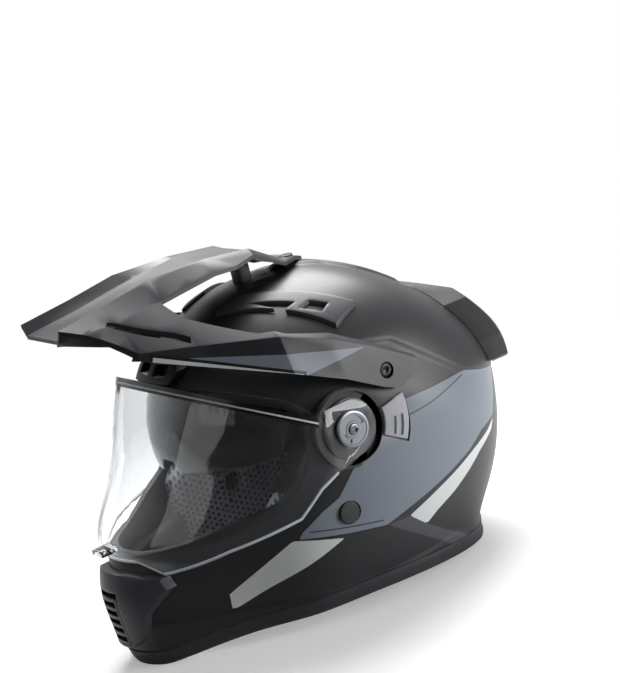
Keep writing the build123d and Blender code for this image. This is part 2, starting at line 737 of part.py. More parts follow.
with BuildPart() as buckle_body:
    add(strap_box(-strap_end_x, buckle_near_x, buckle_half_width, buckle_low_z, buckle_high_z))
    fillet(buckle_body.edges().filter_by(Axis.X), buckle_ear)
    channel_half = tongue_thickness / 2 + running_gap
    add(strap_box(tongue_tip_x - running_gap, buckle_near_x, tongue_half_width + running_gap,
                  strap_z - channel_half, strap_z + channel_half), mode=Mode.SUBTRACT)
    ear_low_z = buckle_hinge_z - buckle_lever_thickness / 2
    ear_length = buckle_ear * 2
    for centre in (strap_y - buckle_half_width + buckle_ear * 1.5,
                   strap_y + buckle_half_width - buckle_ear * 1.5):
        add(box_between((buckle_hinge_x - buckle_ear, centre - buckle_ear / 2, ear_low_z),
                        (buckle_hinge_x + buckle_ear, centre + buckle_ear / 2,
                         buckle_low_z + buckle_ear)))
    with BuildSketch(Plane(origin=(buckle_hinge_x, strap_y - buckle_half_width, buckle_hinge_z),
                           x_dir=(1, 0, 0), z_dir=(0, 1, 0))):
        Circle(buckle_pin_radius + running_gap / 2)
    extrude(amount=2 * buckle_half_width, mode=Mode.SUBTRACT)
buckle_body.part.label = "buckle_body"
export_step(buckle_body.part, "parts/buckle_body.step")

with BuildPart() as buckle_tongue:
    add(strap_box(tongue_tip_x, strap_end_x, tongue_half_width, strap_z - tongue_thickness / 2,
                  strap_z + tongue_thickness / 2))
    for index in range(tongue_tooth_count):
        tooth_x = tongue_tip_x + (index + 1) * tongue_tooth_pitch
        add(strap_box(tooth_x, tooth_x + tongue_tooth_pitch / 2, tongue_half_width / 2,
                      strap_z - tongue_thickness, strap_z - tongue_thickness / 2 + tongue_tooth_depth),
            mode=Mode.SUBTRACT)
buckle_tongue.part.label = "buckle_tongue"
export_step(buckle_tongue.part, "parts/buckle_tongue.step")

with BuildPart() as buckle_lever:
    lever_half_width = buckle_half_width - 2 * buckle_ear - running_gap
    half_thickness = buckle_lever_thickness / 2
    with BuildSketch(Plane(origin=(buckle_hinge_x, strap_y - lever_half_width, buckle_hinge_z),
                           x_dir=(1, 0, 0), z_dir=(0, -1, 0))):
        with Locations((buckle_lever_length / 2, 0)):
            Rectangle(buckle_lever_length, buckle_lever_thickness)
        Circle(half_thickness)
    extrude(amount=-2 * lever_half_width)
    with BuildSketch(Plane(origin=(buckle_hinge_x, strap_y - buckle_half_width, buckle_hinge_z),
                           x_dir=(1, 0, 0), z_dir=(0, -1, 0))):
        Circle(buckle_pin_radius)
    extrude(amount=-2 * buckle_half_width)
    add(strap_box(buckle_hinge_x + buckle_lever_length - buckle_ear, buckle_hinge_x + buckle_lever_length,
                  tab_half_width, buckle_hinge_z - tab_thickness / 2, buckle_hinge_z + tab_thickness / 2),
        mode=Mode.SUBTRACT)
buckle_lever.part.label = "buckle_lever"
export_step(buckle_lever.part, "parts/buckle_lever.step")

with BuildPart() as pull_tab:
    tab_x = buckle_hinge_x + buckle_lever_length - buckle_ear
    add(strap_box(tab_x, tab_x + tab_length + buckle_ear, tab_half_width,
                  buckle_hinge_z - tab_thickness / 2, buckle_hinge_z + tab_thickness / 2))
    fillet(pull_tab.faces().sort_by(Axis.X)[-1].edges().filter_by(Axis.Z), tab_half_width / 2)
pull_tab.part.label = "buckle_pull_tab"
export_step(pull_tab.part, "parts/buckle_pull_tab.step")

# Peak. Each station is a share of the front reach, with points of its section as shares of the
# half width and the height: side bottom, side crease, foot of the band, top of the ridge, edge
# of the sunk floor, and middle.
peak_wall = 3.0
peak_station_shares = (
    (-1.016, ((0.502, 1.004), (0.502, 1.024), (0.377, 1.060), (0.276, 1.088), (0.226, 1.056), (0.000, 1.056))),
    (-0.765, ((0.561, 0.952), (0.569, 0.976), (0.393, 1.064), (0.259, 1.112), (0.201, 1.080), (0.000, 1.080))),
    (-0.546, ((0.735, 0.885), (0.705, 0.949), (0.377, 1.076), (0.243, 1.139), (0.184, 1.108), (0.000, 1.108))),
    (-0.273, ((1.005, 0.804), (0.942, 0.915), (0.351, 1.092), (0.234, 1.135), (0.176, 1.131), (0.000, 1.131))),
    (-0.055, ((1.035, 0.730), (1.000, 0.852), (0.335, 1.076), (0.226, 1.117), (0.167, 1.112), (0.000, 1.112))),
    (0.109, ((1.030, 0.661), (1.000, 0.789), (0.251, 1.020), (0.151, 1.045), (0.100, 1.040), (0.000, 1.040))),
    (0.306, ((1.020, 0.606), (0.995, 0.701), (0.117, 0.988), (0.075, 1.012), (0.050, 1.008), (0.000, 1.008))),
)
peak_front_shares = ((0.000, -0.989), (0.276, -0.989), (0.569, -0.765), (0.753, -0.765))
peak_gap_shares = (
    (0.000, 0.246), (0.067, 0.246), (0.201, 0.109), (0.326, -0.164), (0.377, -0.563),
    (0.519, -0.525), (0.845, -0.332), (0.920, -0.234), (0.955, 0.060), (0.968, 0.328))
arm_end_shares = (
    (0.153, 0.602), (0.175, 0.637), (0.290, 0.665), (0.306, 0.709), (0.410, 0.709),
    (0.410, 0.558), (0.153, 0.558))
wing_slot_shares = (
    (0.385, -0.820), (0.603, -0.617), (0.669, -0.568), (0.636, -0.552), (0.569, -0.596),
    (0.360, -0.803))
peak_ceiling = 300.0
peak_post_half_width = 7.0
peak_post_near_y = -12.0
peak_post_far_y = -2.0
recess_radius = 6.2
recess_floor_x = 117.2
top_head_height = 2.4
top_seat_z = 256.7
with BuildPart() as peak_body:
    for station_share, section_shares in peak_station_shares:
        upper = sized(section_shares, shell_half_width, shell_height)
        lower = [(upper[0][0] - peak_wall, upper[0][1])]
        lower.append((upper[1][0] - peak_wall, upper[1][1] - peak_wall))
        for across, height in upper[2:]:
            lower.append((across, height - peak_wall))
        half = upper[::-1] + lower
        with BuildSketch(Plane.XZ.offset(-station_share * front_reach)):
            with BuildLine():
                Polyline(*both_sides(half), close=True)
            make_face()
    loft(ruled=True)
with BuildPart() as peak:
    add(peak_body.part)
    front_line = sized(peak_front_shares, shell_half_width, front_reach)
    beyond = -2 * front_reach
    front_corners = [(outside_x, front_line[-1][1]), (outside_x, beyond)]
    add(plan_prism(both_sides(front_line + front_corners), 0, peak_ceiling), mode=Mode.SUBTRACT)
    gap_line = sized(peak_gap_shares, shell_half_width, front_reach)
    add(plan_prism(both_sides(gap_line), 0, peak_ceiling), mode=Mode.SUBTRACT)
    add(side_prism(sized(arm_end_shares, front_reach, shell_height), cross_reach),
        mode=Mode.SUBTRACT)
    slot_outline = sized(wing_slot_shares, shell_half_width, front_reach)
    wing_slot = plan_prism(slot_outline, 0, peak_ceiling)
    add(wing_slot, mode=Mode.SUBTRACT)
    add(mirrored(wing_slot), mode=Mode.SUBTRACT)
    boss = disc(screw_y, screw_z, boss_radius, boss_seat_x, recess_floor_x + peak_wall / 2)
    recess = disc(screw_y, screw_z, recess_radius, recess_floor_x, outside_x)
    for piece, effect in ((boss, Mode.ADD), (recess, Mode.SUBTRACT), (screw_bore, Mode.SUBTRACT)):
        add(piece, mode=effect)
        add(mirrored(piece), mode=effect)
    # Relief inside the left arm, which the sun visor lever passes under
    add(fan(lever_inner - lever_margin, lever_outer + lever_margin, lever_low_angle,
            lever_high_angle + lever_travel + lever_margin, lever_floor_x,
            lever_x + lever_thickness + running_gap), mode=Mode.SUBTRACT)
    add(top_screw_bore.part, mode=Mode.SUBTRACT)
    with BuildSketch(Plane.XY.offset(top_seat_z)):
        with Locations((0, top_screw_y)):
            Circle(recess_radius)
    extrude(amount=peak_ceiling - top_seat_z, mode=Mode.SUBTRACT)
peak.part.label = "peak"
export_step(peak.part, "parts/peak.step")

# What the tongue of the peak rests on: a post, and the seat of the top screw
with BuildPart() as peak_mounts:
    with BuildSketch(Plane.XY.offset(shell_height)):
        with Locations((0, (peak_post_near_y + peak_post_far_y) / 2)):
            Rectangle(2 * peak_post_half_width, peak_post_far_y - peak_post_near_y)
        with Locations((0, top_screw_y)):
            Circle(boss_radius)
    extrude(amount=shell_height)
    with BuildSketch(Plane.YZ.offset(-boss_radius * 2)):
        with BuildLine():
            low_line = [(share[0] * front_reach, share[1][-1][1] * shell_height - peak_wall)
                        for share in peak_station_shares[3:]]
            Polyline(*low_line, (low_line[-1][0], 2 * peak_ceiling), (low_line[0][0], 2 * peak_ceiling),
                     close=True)
        make_face()
    extrude(amount=boss_radius * 4, mode=Mode.SUBTRACT)
    add(top_screw_bore.part, mode=Mode.SUBTRACT)
peak_mounts.part.label = "peak_mounts"
export_step(peak_mounts.part, "parts/peak_mounts.step")

screw_driver_radius = 2.6
screw_driver_depth = 1.6
with BuildPart() as peak_side_screws:
    head_x = recess_floor_x + screw_head
    add(disc(screw_y, screw_z, screw_radius, boss_seat_x - shell_wall + seat_gap, recess_floor_x))
    add(disc(screw_y, screw_z, screw_head_radius, recess_floor_x, head_x))
    chamfer(peak_side_screws.faces().sort_by(Axis.X)[-1].edges(), screw_head / 4)
    with BuildSketch(Plane(origin=(head_x, screw_y, screw_z), x_dir=(0, 1, 0), z_dir=(1, 0, 0))):
        RegularPolygon(screw_driver_radius, 6)
    extrude(amount=-screw_driver_depth, mode=Mode.SUBTRACT)
    mirror(about=Plane.YZ)
peak_side_screws.part.label = "peak_side_screws"
export_step(peak_side_screws.part, "parts/peak_side_screws.step")

with BuildPart() as peak_top_screw:
    with BuildSketch(Plane.XY.offset(shell_height + seat_gap)):
        with Locations((0, top_screw_y)):
            Circle(screw_radius)
    extrude(amount=top_seat_z - shell_height - seat_gap)
    with BuildSketch(Plane.XY.offset(top_seat_z)):
        with Locations((0, top_screw_y)):
            Circle(screw_head_radius)
    extrude(amount=top_head_height)
    chamfer(peak_top_screw.faces().sort_by(Axis.Z)[-1].edges(), top_head_height / 4)
peak_top_screw.part.label = "peak_top_screw"
export_step(peak_top_screw.part, "parts/peak_top_screw.step")

# Panels on the shell's skin
chin_proud = 7.0
chin_window_half_width = 12.0
chin_window_low_z = 20.0
chin_window_high_z = 64.0
chin_cover_shares = (
    (0.000, 0.312), (0.184, 0.310), (0.351, 0.283), (0.368, 0.247), (0.251, 0.175),
    (0.201, 0.104), (0.100, 0.072), (0.000, 0.072))
chin_form = helmet_form(-chin_proud)
chin_window = [(-chin_window_half_width, chin_window_low_z),
               (chin_window_half_width, chin_window_low_z),
               (chin_window_half_width, chin_window_high_z),
               (-chin_window_half_width, chin_window_high_z)]
far_front = -2 * front_reach
with BuildPart() as chin_cover:
    add(chin_form)
    add(front_prism(both_sides(sized(chin_cover_shares, shell_half_width, shell_height)), 0,
                    far_front), mode=Mode.INTERSECT)
    add(seat_form, mode=Mode.SUBTRACT)
    add(front_prism(chin_window, 0, far_front), mode=Mode.SUBTRACT)
chin_cover.part.label = "chin_cover"
export_step(chin_cover.part, "parts/chin_cover.step")

grille_gap = 0.3
grille_bar = 3.0
grille_pitch = 7.3
grille_bar_count = 6
grille_post_half_width = 1.5
with BuildPart() as grille_bars:
    post_x = chin_window_half_width - grille_gap
    for index in range(grille_bar_count):
        bar_z = chin_window_low_z + grille_gap + index * grille_pitch
        add(box_between((-post_x, far_front, bar_z), (post_x, 0, bar_z + grille_bar)))
    grille_top_z = bar_z + grille_bar
    for near, far in ((-post_x, 2 * grille_post_half_width - post_x),
                      (post_x - 2 * grille_post_half_width, post_x)):
        add(box_between((near, far_front, chin_window_low_z + grille_gap), (far, 0, grille_top_z)))
with BuildPart() as chin_grille:
    add(chin_form)
    add(grille_bars.part, mode=Mode.INTERSECT)
    add(seat_form, mode=Mode.SUBTRACT)
chin_grille.part.label = "chin_grille"
export_step(chin_grille.part, "parts/chin_grille.step")

brow_shares = ((0.000, 0.884), (0.184, 0.884), (0.251, 0.845), (0.218, 0.812), (0.000, 0.812))
brow_slot_low_z = 208.5
brow_slot_high_z = 216.0
brow_slot_near_x = 4.0
brow_slot_far_x = 20.0
with BuildPart() as brow_vent:
    add(chin_form)
    add(front_prism(both_sides(sized(brow_shares, shell_half_width, shell_height)), 0, far_front),
        mode=Mode.INTERSECT)
    add(seat_form, mode=Mode.SUBTRACT)
    for near, far in ((brow_slot_near_x, brow_slot_far_x), (-brow_slot_far_x, -brow_slot_near_x)):
        add(box_between((near, far_front, brow_slot_low_z), (far, 0, brow_slot_high_z)),
            mode=Mode.SUBTRACT)
brow_vent.part.label = "brow_vent"
export_step(brow_vent.part, "parts/brow_vent.step")

skin_proud = 3.0
skin_form = helmet_form(-skin_proud)
roof_vent_shares = ((0.218, -0.284), (0.234, -0.153), (0.711, 0.197), (0.778, 0.055))
roof_slot_shares = (((0.35, -0.165), (0.40, -0.125), (0.55, -0.02), (0.56, -0.09)),
                    ((0.60, -0.03), (0.585, 0.03), (0.66, 0.09), (0.69, 0.04)))
with BuildPart() as roof_vent_body:
    add(skin_form)
    add(plan_prism(sized(roof_vent_shares, shell_half_width, front_reach), shell_height / 2,
                   peak_ceiling), mode=Mode.INTERSECT)
    add(seat_form, mode=Mode.SUBTRACT)
    for slot_shares in roof_slot_shares:
        add(plan_prism(sized(slot_shares, shell_half_width, front_reach), shell_height / 2,
                       peak_ceiling), mode=Mode.SUBTRACT)
for side in ("left", "right"):
    with BuildPart() as roof_vent:
        add(roof_vent_body.part)
        if side == "right":
            mirror(about=Plane.YZ, mode=Mode.REPLACE)
    roof_vent.part.label = "roof_vent_" + side
    export_step(roof_vent.part, "parts/roof_vent_" + side + ".step")

exhaust_proud = 13.0
exhaust_shares = (
    (0.000, 0.825), (0.251, 0.815), (0.519, 0.749), (0.686, 0.614), (0.703, 0.550),
    (0.502, 0.510), (0.000, 0.502))
exhaust_profile_shares = (
    (0.30, 0.860), (0.620, 0.860), (0.700, 0.822), (0.830, 0.775), (0.950, 0.680), (1.025, 0.600), (1.038, 0.562),
    (1.000, 0.510), (0.962, 0.486), (0.30, 0.486))
exhaust_slot_shares = (((0.10, 0.60), (0.10, 0.74), (0.36, 0.72), (0.36, 0.58)),)
with BuildPart() as rear_exhaust_cover:
    add(front_prism(both_sides(sized(exhaust_shares, shell_half_width, shell_height)),
                    2 * rear_reach, 0))
    add(side_prism(sized(exhaust_profile_shares, front_reach, shell_height), cross_reach),
        mode=Mode.INTERSECT)
    add(helmet_form(-exhaust_proud), mode=Mode.INTERSECT)
    add(seat_form, mode=Mode.SUBTRACT)
    for slot_shares in exhaust_slot_shares:
        slot = front_prism(sized(slot_shares, shell_half_width, shell_height), 2 * rear_reach, 0)
        add(slot, mode=Mode.SUBTRACT)
        add(mirrored(slot), mode=Mode.SUBTRACT)
rear_exhaust_cover.part.label = "rear_exhaust_cover"
export_step(rear_exhaust_cover.part, "parts/rear_exhaust_cover.step")

for side in ("left", "right"):
    with BuildPart() as side_plug:
        add(disc(plug_y, plug_z, plug_stem_radius, shell_half_width - 3 * shell_wall, plug_seat_x))
        add(inner_form, mode=Mode.SUBTRACT)
        add(disc(plug_y, plug_z, plug_radius, plug_seat_x, plug_seat_x + plug_head))
        fillet(side_plug.faces().sort_by(Axis.X)[-1].edges(), plug_head / 3)
        if side == "right":
            mirror(about=Plane.YZ, mode=Mode.REPLACE)
    side_plug.part.label = "side_plug_" + side
    export_step(side_plug.part, "parts/side_plug_" + side + ".step")
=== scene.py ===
from math import cos, pi, radians, sin, tan

import bmesh
import bpy
import numpy as np
from mathutils import Matrix, Vector
from mathutils.bvhtree import BVHTree


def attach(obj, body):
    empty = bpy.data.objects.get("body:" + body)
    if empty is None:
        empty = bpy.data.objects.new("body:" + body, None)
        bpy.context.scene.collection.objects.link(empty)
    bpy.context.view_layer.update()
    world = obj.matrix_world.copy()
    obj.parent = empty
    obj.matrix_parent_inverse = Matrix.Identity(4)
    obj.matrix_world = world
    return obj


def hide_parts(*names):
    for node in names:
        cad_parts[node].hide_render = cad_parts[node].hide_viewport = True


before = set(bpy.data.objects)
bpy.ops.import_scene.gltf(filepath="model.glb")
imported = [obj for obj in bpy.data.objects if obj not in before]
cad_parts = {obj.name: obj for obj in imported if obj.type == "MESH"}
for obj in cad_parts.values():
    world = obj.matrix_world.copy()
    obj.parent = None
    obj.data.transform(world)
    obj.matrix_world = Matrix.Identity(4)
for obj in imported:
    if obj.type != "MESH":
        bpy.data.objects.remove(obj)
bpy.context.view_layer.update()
mm = 0.001

# The studio: a white floor that keeps the helmet's soft shadow, a white surround, a wide soft
# box overhead behind the right shoulder, a second one low at the left rear and a weak front fill.
scene = bpy.context.scene
scene.view_settings.view_transform = "Standard"


def linear(code):
    """An sRGB hex colour as linear red, green, blue and alpha."""
    channels = [int(code[i:i + 2], 16) / 255 for i in (1, 3, 5)]
    return [c / 12.92 if c <= 0.04045 else ((c + 0.055) / 1.055) ** 2.4 for c in channels] + [1]


def add_node(tree, kind, settings=(), links=()):
    """Adds a node with its settings, and with the sockets that feed its inputs."""
    made = tree.nodes.new("ShaderNode" + kind)
    for name, value in dict(settings).items():
        if isinstance(name, str) and hasattr(made, name):
            setattr(made, name, value)
        else:
            made.inputs[name].default_value = value
    for name, source in dict(links).items():
        tree.links.new(source, made.inputs[name])
    return made


def new_material(name):
    """An empty material, as its tree and its output node."""
    made = bpy.data.materials.new(name)
    made.use_nodes = True
    made.node_tree.nodes.clear()
    return made, made.node_tree, add_node(made.node_tree, "OutputMaterial")


def new_object(name, points, faces):
    """A mesh object from points in millimetres."""
    mesh = bpy.data.meshes.new(name)
    mesh.from_pydata([[c * mm for c in point] for point in points], [], faces)
    mesh.validate()
    made = bpy.data.objects.new(name, mesh)
    scene.collection.objects.link(made)
    return made


# How bright the surround is to what it lights, and how much more to what mirrors it
room_light, room_glow = 0.2, 0.45
room_front, room_front_light = (0.62, -0.75, -0.25), 0.1
scene.world = bpy.data.worlds.new("white_surround")
scene.world.use_nodes = True
world = scene.world.node_tree
world.nodes.clear()
path = add_node(world, "LightPath")
glow = add_node(world, "Math", {"operation": "MULTIPLY_ADD", 1: room_glow, 2: room_light},
                {0: path.outputs["Is Glossy Ray"]})
level = add_node(world, "Math", {"operation": "MAXIMUM"},
                 {0: path.outputs["Is Transmission Ray"], 1: glow.outputs[0]})
# The room is dark at the front left, as a studio is, and the eye still sees it white
heading = add_node(world, "TexCoord")
from_front = add_node(world, "VectorMath", {"operation": "DOT_PRODUCT", 1: room_front},
                      {0: heading.outputs["Generated"]})
dim = add_node(world, "MapRange", {"From Min": -0.2, "From Max": 0.6, "To Min": 1.0,
                                   "To Max": room_front_light},
               {"Value": from_front.outputs["Value"]})
dimmed = add_node(world, "Math", {"operation": "MULTIPLY"},
                  {0: level.outputs[0], 1: dim.outputs[0]})
level = add_node(world, "Math", {"operation": "MAXIMUM"},
                 {0: path.outputs["Is Camera Ray"], 1: dimmed.outputs[0]})
surround = add_node(world, "Background", {"Color": (1, 1, 1, 1)}, {"Strength": level.outputs[0]})
add_node(world, "OutputWorld", {}, {"Surface": surround.outputs[0]})

# name: direction from the helmet, distance and size in metres, watts
lamps = {"overhead_box": ((-0.42, 0.38, 0.85), 1.25, 0.9, 31.0),
         "rear_left_box": ((0.80, 0.62, 0.10), 1.5, 0.9, 17.0),
         "front_fill": ((0.10, -0.85, 0.45), 1.9, 1.2, 3.0)}
helmet_centre = Vector((0, 0, 0.14))
for name, (direction, distance, size, power) in lamps.items():
    data = bpy.data.lights.new(name, "AREA")
    data.shape, data.size, data.size_y, data.energy = "RECTANGLE", size, size, power
    lamp = bpy.data.objects.new(name, data)
    lamp.location = helmet_centre + Vector(direction).normalized() * distance
    lamp.rotation_mode = "QUATERNION"
    lamp.rotation_quaternion = Vector(direction).to_track_quat("Z", "Y")
    scene.collection.objects.link(lamp)

floor_half = 6000
floor = new_object("studio_floor", [(-floor_half, -floor_half, 0), (floor_half, -floor_half, 0),
                                    (floor_half, floor_half, 0), (-floor_half, floor_half, 0)],
                   [(0, 1, 2, 3)])
# White paper: matt, with a fine fibre. It keeps the shadow near the helmet, and turns for the eye
# into the white surround further out. In front it ends on a dark floor, which only mirrors show
shadow_near, shadow_far = 0.28, 0.62
paper_front, paper_end = (0.75, -0.66, 0), (0.12, 0.30)
paper_lift, dark_floor = 0.3, 0.07
paper, tree, out = new_material("white_background_paper")
path = add_node(tree, "LightPath")
fibre = add_node(tree, "TexNoise", {"Scale": 900.0, "Detail": 2.0})
tone = add_node(tree, "MapRange", {"To Min": 0.90, "To Max": 0.93}, {"Value": fibre.outputs["Fac"]})
sheet = add_node(tree, "BsdfPrincipled", {"Roughness": 0.9})
place = add_node(tree, "TexCoord")
in_front = add_node(tree, "VectorMath", {"operation": "DOT_PRODUCT", 1: paper_front},
                    {0: place.outputs["Object"]})
paper_left = add_node(tree, "MapRange", {"From Min": paper_end[0], "From Max": paper_end[1],
                                         "To Min": 1.0, "To Max": dark_floor},
                      {"Value": in_front.outputs["Value"]})
through = add_node(tree, "Math", {"operation": "MULTIPLY"},
                   {0: path.outputs["Is Transmission Ray"], 1: paper_left.outputs[0]})
seen = add_node(tree, "Math", {"operation": "MAXIMUM"},
                {0: path.outputs["Is Camera Ray"], 1: through.outputs[0]})
left = add_node(tree, "Math", {"operation": "MAXIMUM"},
                {0: path.outputs["Is Camera Ray"], 1: paper_left.outputs[0]})
shade = add_node(tree, "Math", {"operation": "MULTIPLY"}, {0: tone.outputs[0], 1: left.outputs[0]})
tree.links.new(shade.outputs[0], sheet.inputs["Base Color"])
lift = add_node(tree, "Math", {"operation": "MULTIPLY", 1: paper_lift}, {0: seen.outputs[0]})
tree.links.new(lift.outputs[0], sheet.inputs["Emission Strength"])
sheet.inputs["Emission Color"].default_value = (1, 1, 1, 1)
bare = add_node(tree, "Emission", {"Color": (1, 1, 1, 1), "Strength": 1.0})
away = add_node(tree, "VectorMath", {"operation": "LENGTH"}, {0: place.outputs["Object"]})
far = add_node(tree, "MapRange", {"From Min": shadow_near, "From Max": shadow_far},
               {"Value": away.outputs["Value"]})
fade = add_node(tree, "Math", {"operation": "MULTIPLY"}, {0: far.outputs[0], 1: seen.outputs[0]})
joined_floor = add_node(tree, "MixShader", {}, {0: fade.outputs[0], 1: sheet.outputs[0],
                                                2: bare.outputs[0]})
tree.links.new(joined_floor.outputs[0], out.inputs["Surface"])
floor.data.materials.append(paper)

# The camera stands at the helmet's left front, a little above it, and is rolled as the
# photograph is.
azimuth, elevation, roll = radians(60.156), radians(13.943), radians(-14.564)
focal_pixels, image_height = 1919.167, 673
camera_distance, across, upward = 1560.12, -14.544, 190.628
back = Vector((sin(azimuth) * cos(elevation), -cos(azimuth) * cos(elevation), sin(elevation)))
level_axis = Vector((cos(azimuth), sin(azimuth), 0))
upright = back.cross(level_axis)
right = cos(roll) * level_axis + sin(roll) * upright
above = -sin(roll) * level_axis + cos(roll) * upright
data = bpy.data.cameras.new("catalogue_camera")
data.sensor_width = 36
data.lens = focal_pixels / image_height * data.sensor_width
data.clip_start, data.clip_end = 0.05, 30
camera = bpy.data.objects.new("catalogue_camera", data)
scene.collection.objects.link(camera)
place = (across * right + upward * above + camera_distance * back) * mm
camera.matrix_world = Matrix.Translation(place) @ Matrix((right, above, back)).transposed().to_4x4()
scene.camera = camera

# The shell: moulded polycarbonate, 4 mm thick, lacquered matt black with blue-grey and silver
# panels. Its form is the same closed helmet form as the solid's, laid out as a fine even net.
shell_height, half_width, front_reach, rear_reach = 251.0, 119.5, 183.0, 178.0
wall = 4.0
level_shares = np.array((
    (0.0, 0.962, 0.742, 0.862, 0.045, 0.0), (0.08, 0.989, 0.758, 0.904, 0.056, 0.0),
    (0.179, 1.0, 0.854, 0.95, 0.079, 0.0), (0.299, 0.973, 0.938, 0.987, 0.112, 0.1),
    (0.418, 0.874, 0.983, 1.0, 0.135, 0.6), (0.538, 0.781, 1.0, 1.0, 0.146, 1.0),
    (0.657, 0.699, 0.927, 0.962, 0.146, 1.0), (0.757, 0.612, 0.798, 0.895, 0.146, 1.0),
    (0.837, 0.525, 0.663, 0.799, 0.14, 1.0), (0.9, 0.432, 0.539, 0.669, 0.135, 1.0),
    (0.948, 0.328, 0.421, 0.519, 0.135, 1.0), (0.984, 0.208, 0.298, 0.335, 0.135, 1.0),
    (1.0, 0.08, 0.21, 0.17, 0.135, 1.0)))
wedge_plan = np.array(((0.0, 1.0), (0.2, 0.965), (0.39, 0.83), (0.52, 0.7), (0.7, 0.545),
                       (0.86, 0.41), (0.955, 0.22), (1.0, 0.0)))
round_plan = np.array(((0.0, 1.0), (0.2, 0.98), (0.39, 0.92), (0.52, 0.854), (0.7, 0.714),
                       (0.86, 0.51), (0.955, 0.297), (1.0, 0.0)))
rear_plan = np.array(((0.955, 0.368), (0.86, 0.587), (0.72, 0.759), (0.52, 0.896), (0.3, 0.972),
                      (0.0, 1.0)))
row_count, side_count, cap_rows, cap_rise = 170, 156, 9, 0.6


def smooth_curve(knots, values, at, slopes):
    """A smooth curve through values at knots, with these slopes at its ends."""
    gap = np.diff(knots)[:, None]
    rise = np.diff(values, axis=0) / gap
    count = len(knots)
    system = np.eye(count)
    target = np.zeros_like(values)
    target[0], target[-1] = slopes
    for i in range(1, count - 1):
        system[i, i - 1:i + 2] = gap[i, 0], 2 * (gap[i - 1, 0] + gap[i, 0]), gap[i - 1, 0]
        target[i] = 3 * (gap[i] * rise[i - 1] + gap[i - 1] * rise[i])
    slope = np.linalg.solve(system, target)
    i = np.clip(np.searchsorted(knots, at, "right") - 1, 0, count - 2)
    u = ((at - knots[i]) / gap[i, 0])[:, None]
    h = gap[i]
    return ((1 + 2 * u) * (1 - u) ** 2 * values[i] + u * (1 - u) ** 2 * h * slope[i]
            + u * u * (3 - 2 * u) * values[i + 1] + u * u * (u - 1) * h * slope[i + 1])


def chord_lengths(points):
    """How far along its own line each point lies."""
    return np.r_[0, np.cumsum(np.linalg.norm(np.diff(points, axis=0), axis=1))]


meridian = chord_lengths(level_shares[:, [0, 3]] * (shell_height, half_width))
first, last = [np.subtract(*level_shares[[i + 1, i]]) / (meridian[i + 1] - meridian[i])
               for i in (0, len(meridian) - 2)]
rows = smooth_curve(meridian, level_shares, np.linspace(0, meridian[-1], row_count), (first, last))
net = np.zeros((row_count + cap_rows, 2 * side_count - 2, 3))
for index, (height, front, rear, width, widest, roundness) in enumerate(rows):
    widest *= rear_reach
    forward, backward = widest + front * front_reach, rear * rear_reach - widest
    outline = wedge_plan + (round_plan - wedge_plan) * roundness
    outline = np.vstack((outline * (width * half_width, -forward),
                         rear_plan * (width * half_width, backward)))
    outline[:, 1] += widest
    run = chord_lengths(outline)
    side = smooth_curve(run, outline, np.linspace(0, run[-1], side_count), ((1, 0), (-1, 0)))
    net[index, :side_count, :2] = side
    net[index, side_count:, :2] = side[-2:0:-1] * (-1, 1)
    net[index, :, 2] = min(height, 1) * shell_height
top_ring = net[row_count - 1]
crown_centre = np.array((0, top_ring[:, 1].mean(), shell_height))
for index in range(cap_rows):
    share = 1 - (index + 1) / (cap_rows + 1)
    net[row_count + index] = crown_centre + (top_ring - crown_centre) * share
    net[row_count + index, :, 2] += cap_rise * (1 - share ** 2)


def net_normals(points):
    """Outward directions all over the net."""
    round_way = np.roll(points, -1, axis=1) - np.roll(points, 1, axis=1)
    up_way = np.gradient(points, axis=0)
    made = np.cross(round_way, up_way)
    return made / np.maximum(np.linalg.norm(made, axis=2, keepdims=True), 1e-9)


def spread(values, known, turns):
    """Fills what isn't known from its neighbours, and evens the whole out."""
    values, weight = values * known, known.astype(float)
    for _ in range(turns):
        total = values.copy()
        share = weight.copy()
        for shift, axis in ((1, 1), (-1, 1), (1, 0), (-1, 0)):
            a, b = np.roll(values, shift, axis), np.roll(weight, shift, axis)
            if axis == 0:
                edge = 0 if shift == 1 else -1
                a[edge], b[edge] = 0, 0
            total, share = total + a, share + b
        values = total / np.maximum(share, 1e-9) * (share > 0)
        weight = (share > 0).astype(float)
    return values


# The net is laid on the solid itself, wherever the solid is there to be felt
normals = net_normals(net)
solid_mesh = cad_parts["shell"].data
solid = BVHTree.FromPolygons([v.co / mm for v in solid_mesh.vertices],
                             [list(p.vertices) for p in solid_mesh.polygons])
reach, largest_step, facing_share, spread_turns = 5.0, 2.5, 0.8, 14
found = np.zeros(net.shape[:2])
known = np.zeros(net.shape[:2], bool)
for i in range(net.shape[0]):
    for j in range(net.shape[1]):
        out_way = Vector(normals[i, j])
        hit = solid.ray_cast(Vector(net[i, j]) + out_way * reach, -out_way, 2 * reach)
        met = hit[0] is not None and hit[1].dot(out_way) > facing_share
        if met and abs(reach - hit[3]) < largest_step:
            found[i, j], known[i, j] = reach - hit[3], True
net += normals * spread(found, known, spread_turns)[..., None]


def inside_distance(points, outline):
    """Distance of flat points from an outline in millimetres, negative inside it."""
    outline = np.array(outline, float)
    nearest = np.full(len(points), 1e9)
    inside = np.zeros(len(points), bool)
    for a, b in zip(outline, np.roll(outline, -1, axis=0)):
        edge = b - a
        t = np.clip(((points - a) @ edge) / (edge @ edge), 0, 1)
        nearest = np.minimum(nearest, np.linalg.norm(points - a - t[:, None] * edge, axis=1))
        crosses = (a[1] > points[:, 1]) != (b[1] > points[:, 1])
        rise = np.where(edge[1] == 0, 1e-9, edge[1])
        inside ^= crosses & (points[:, 0] < (points[:, 1] - a[1]) / rise * edge[0] + a[0])
    return np.where(inside, -nearest, nearest)


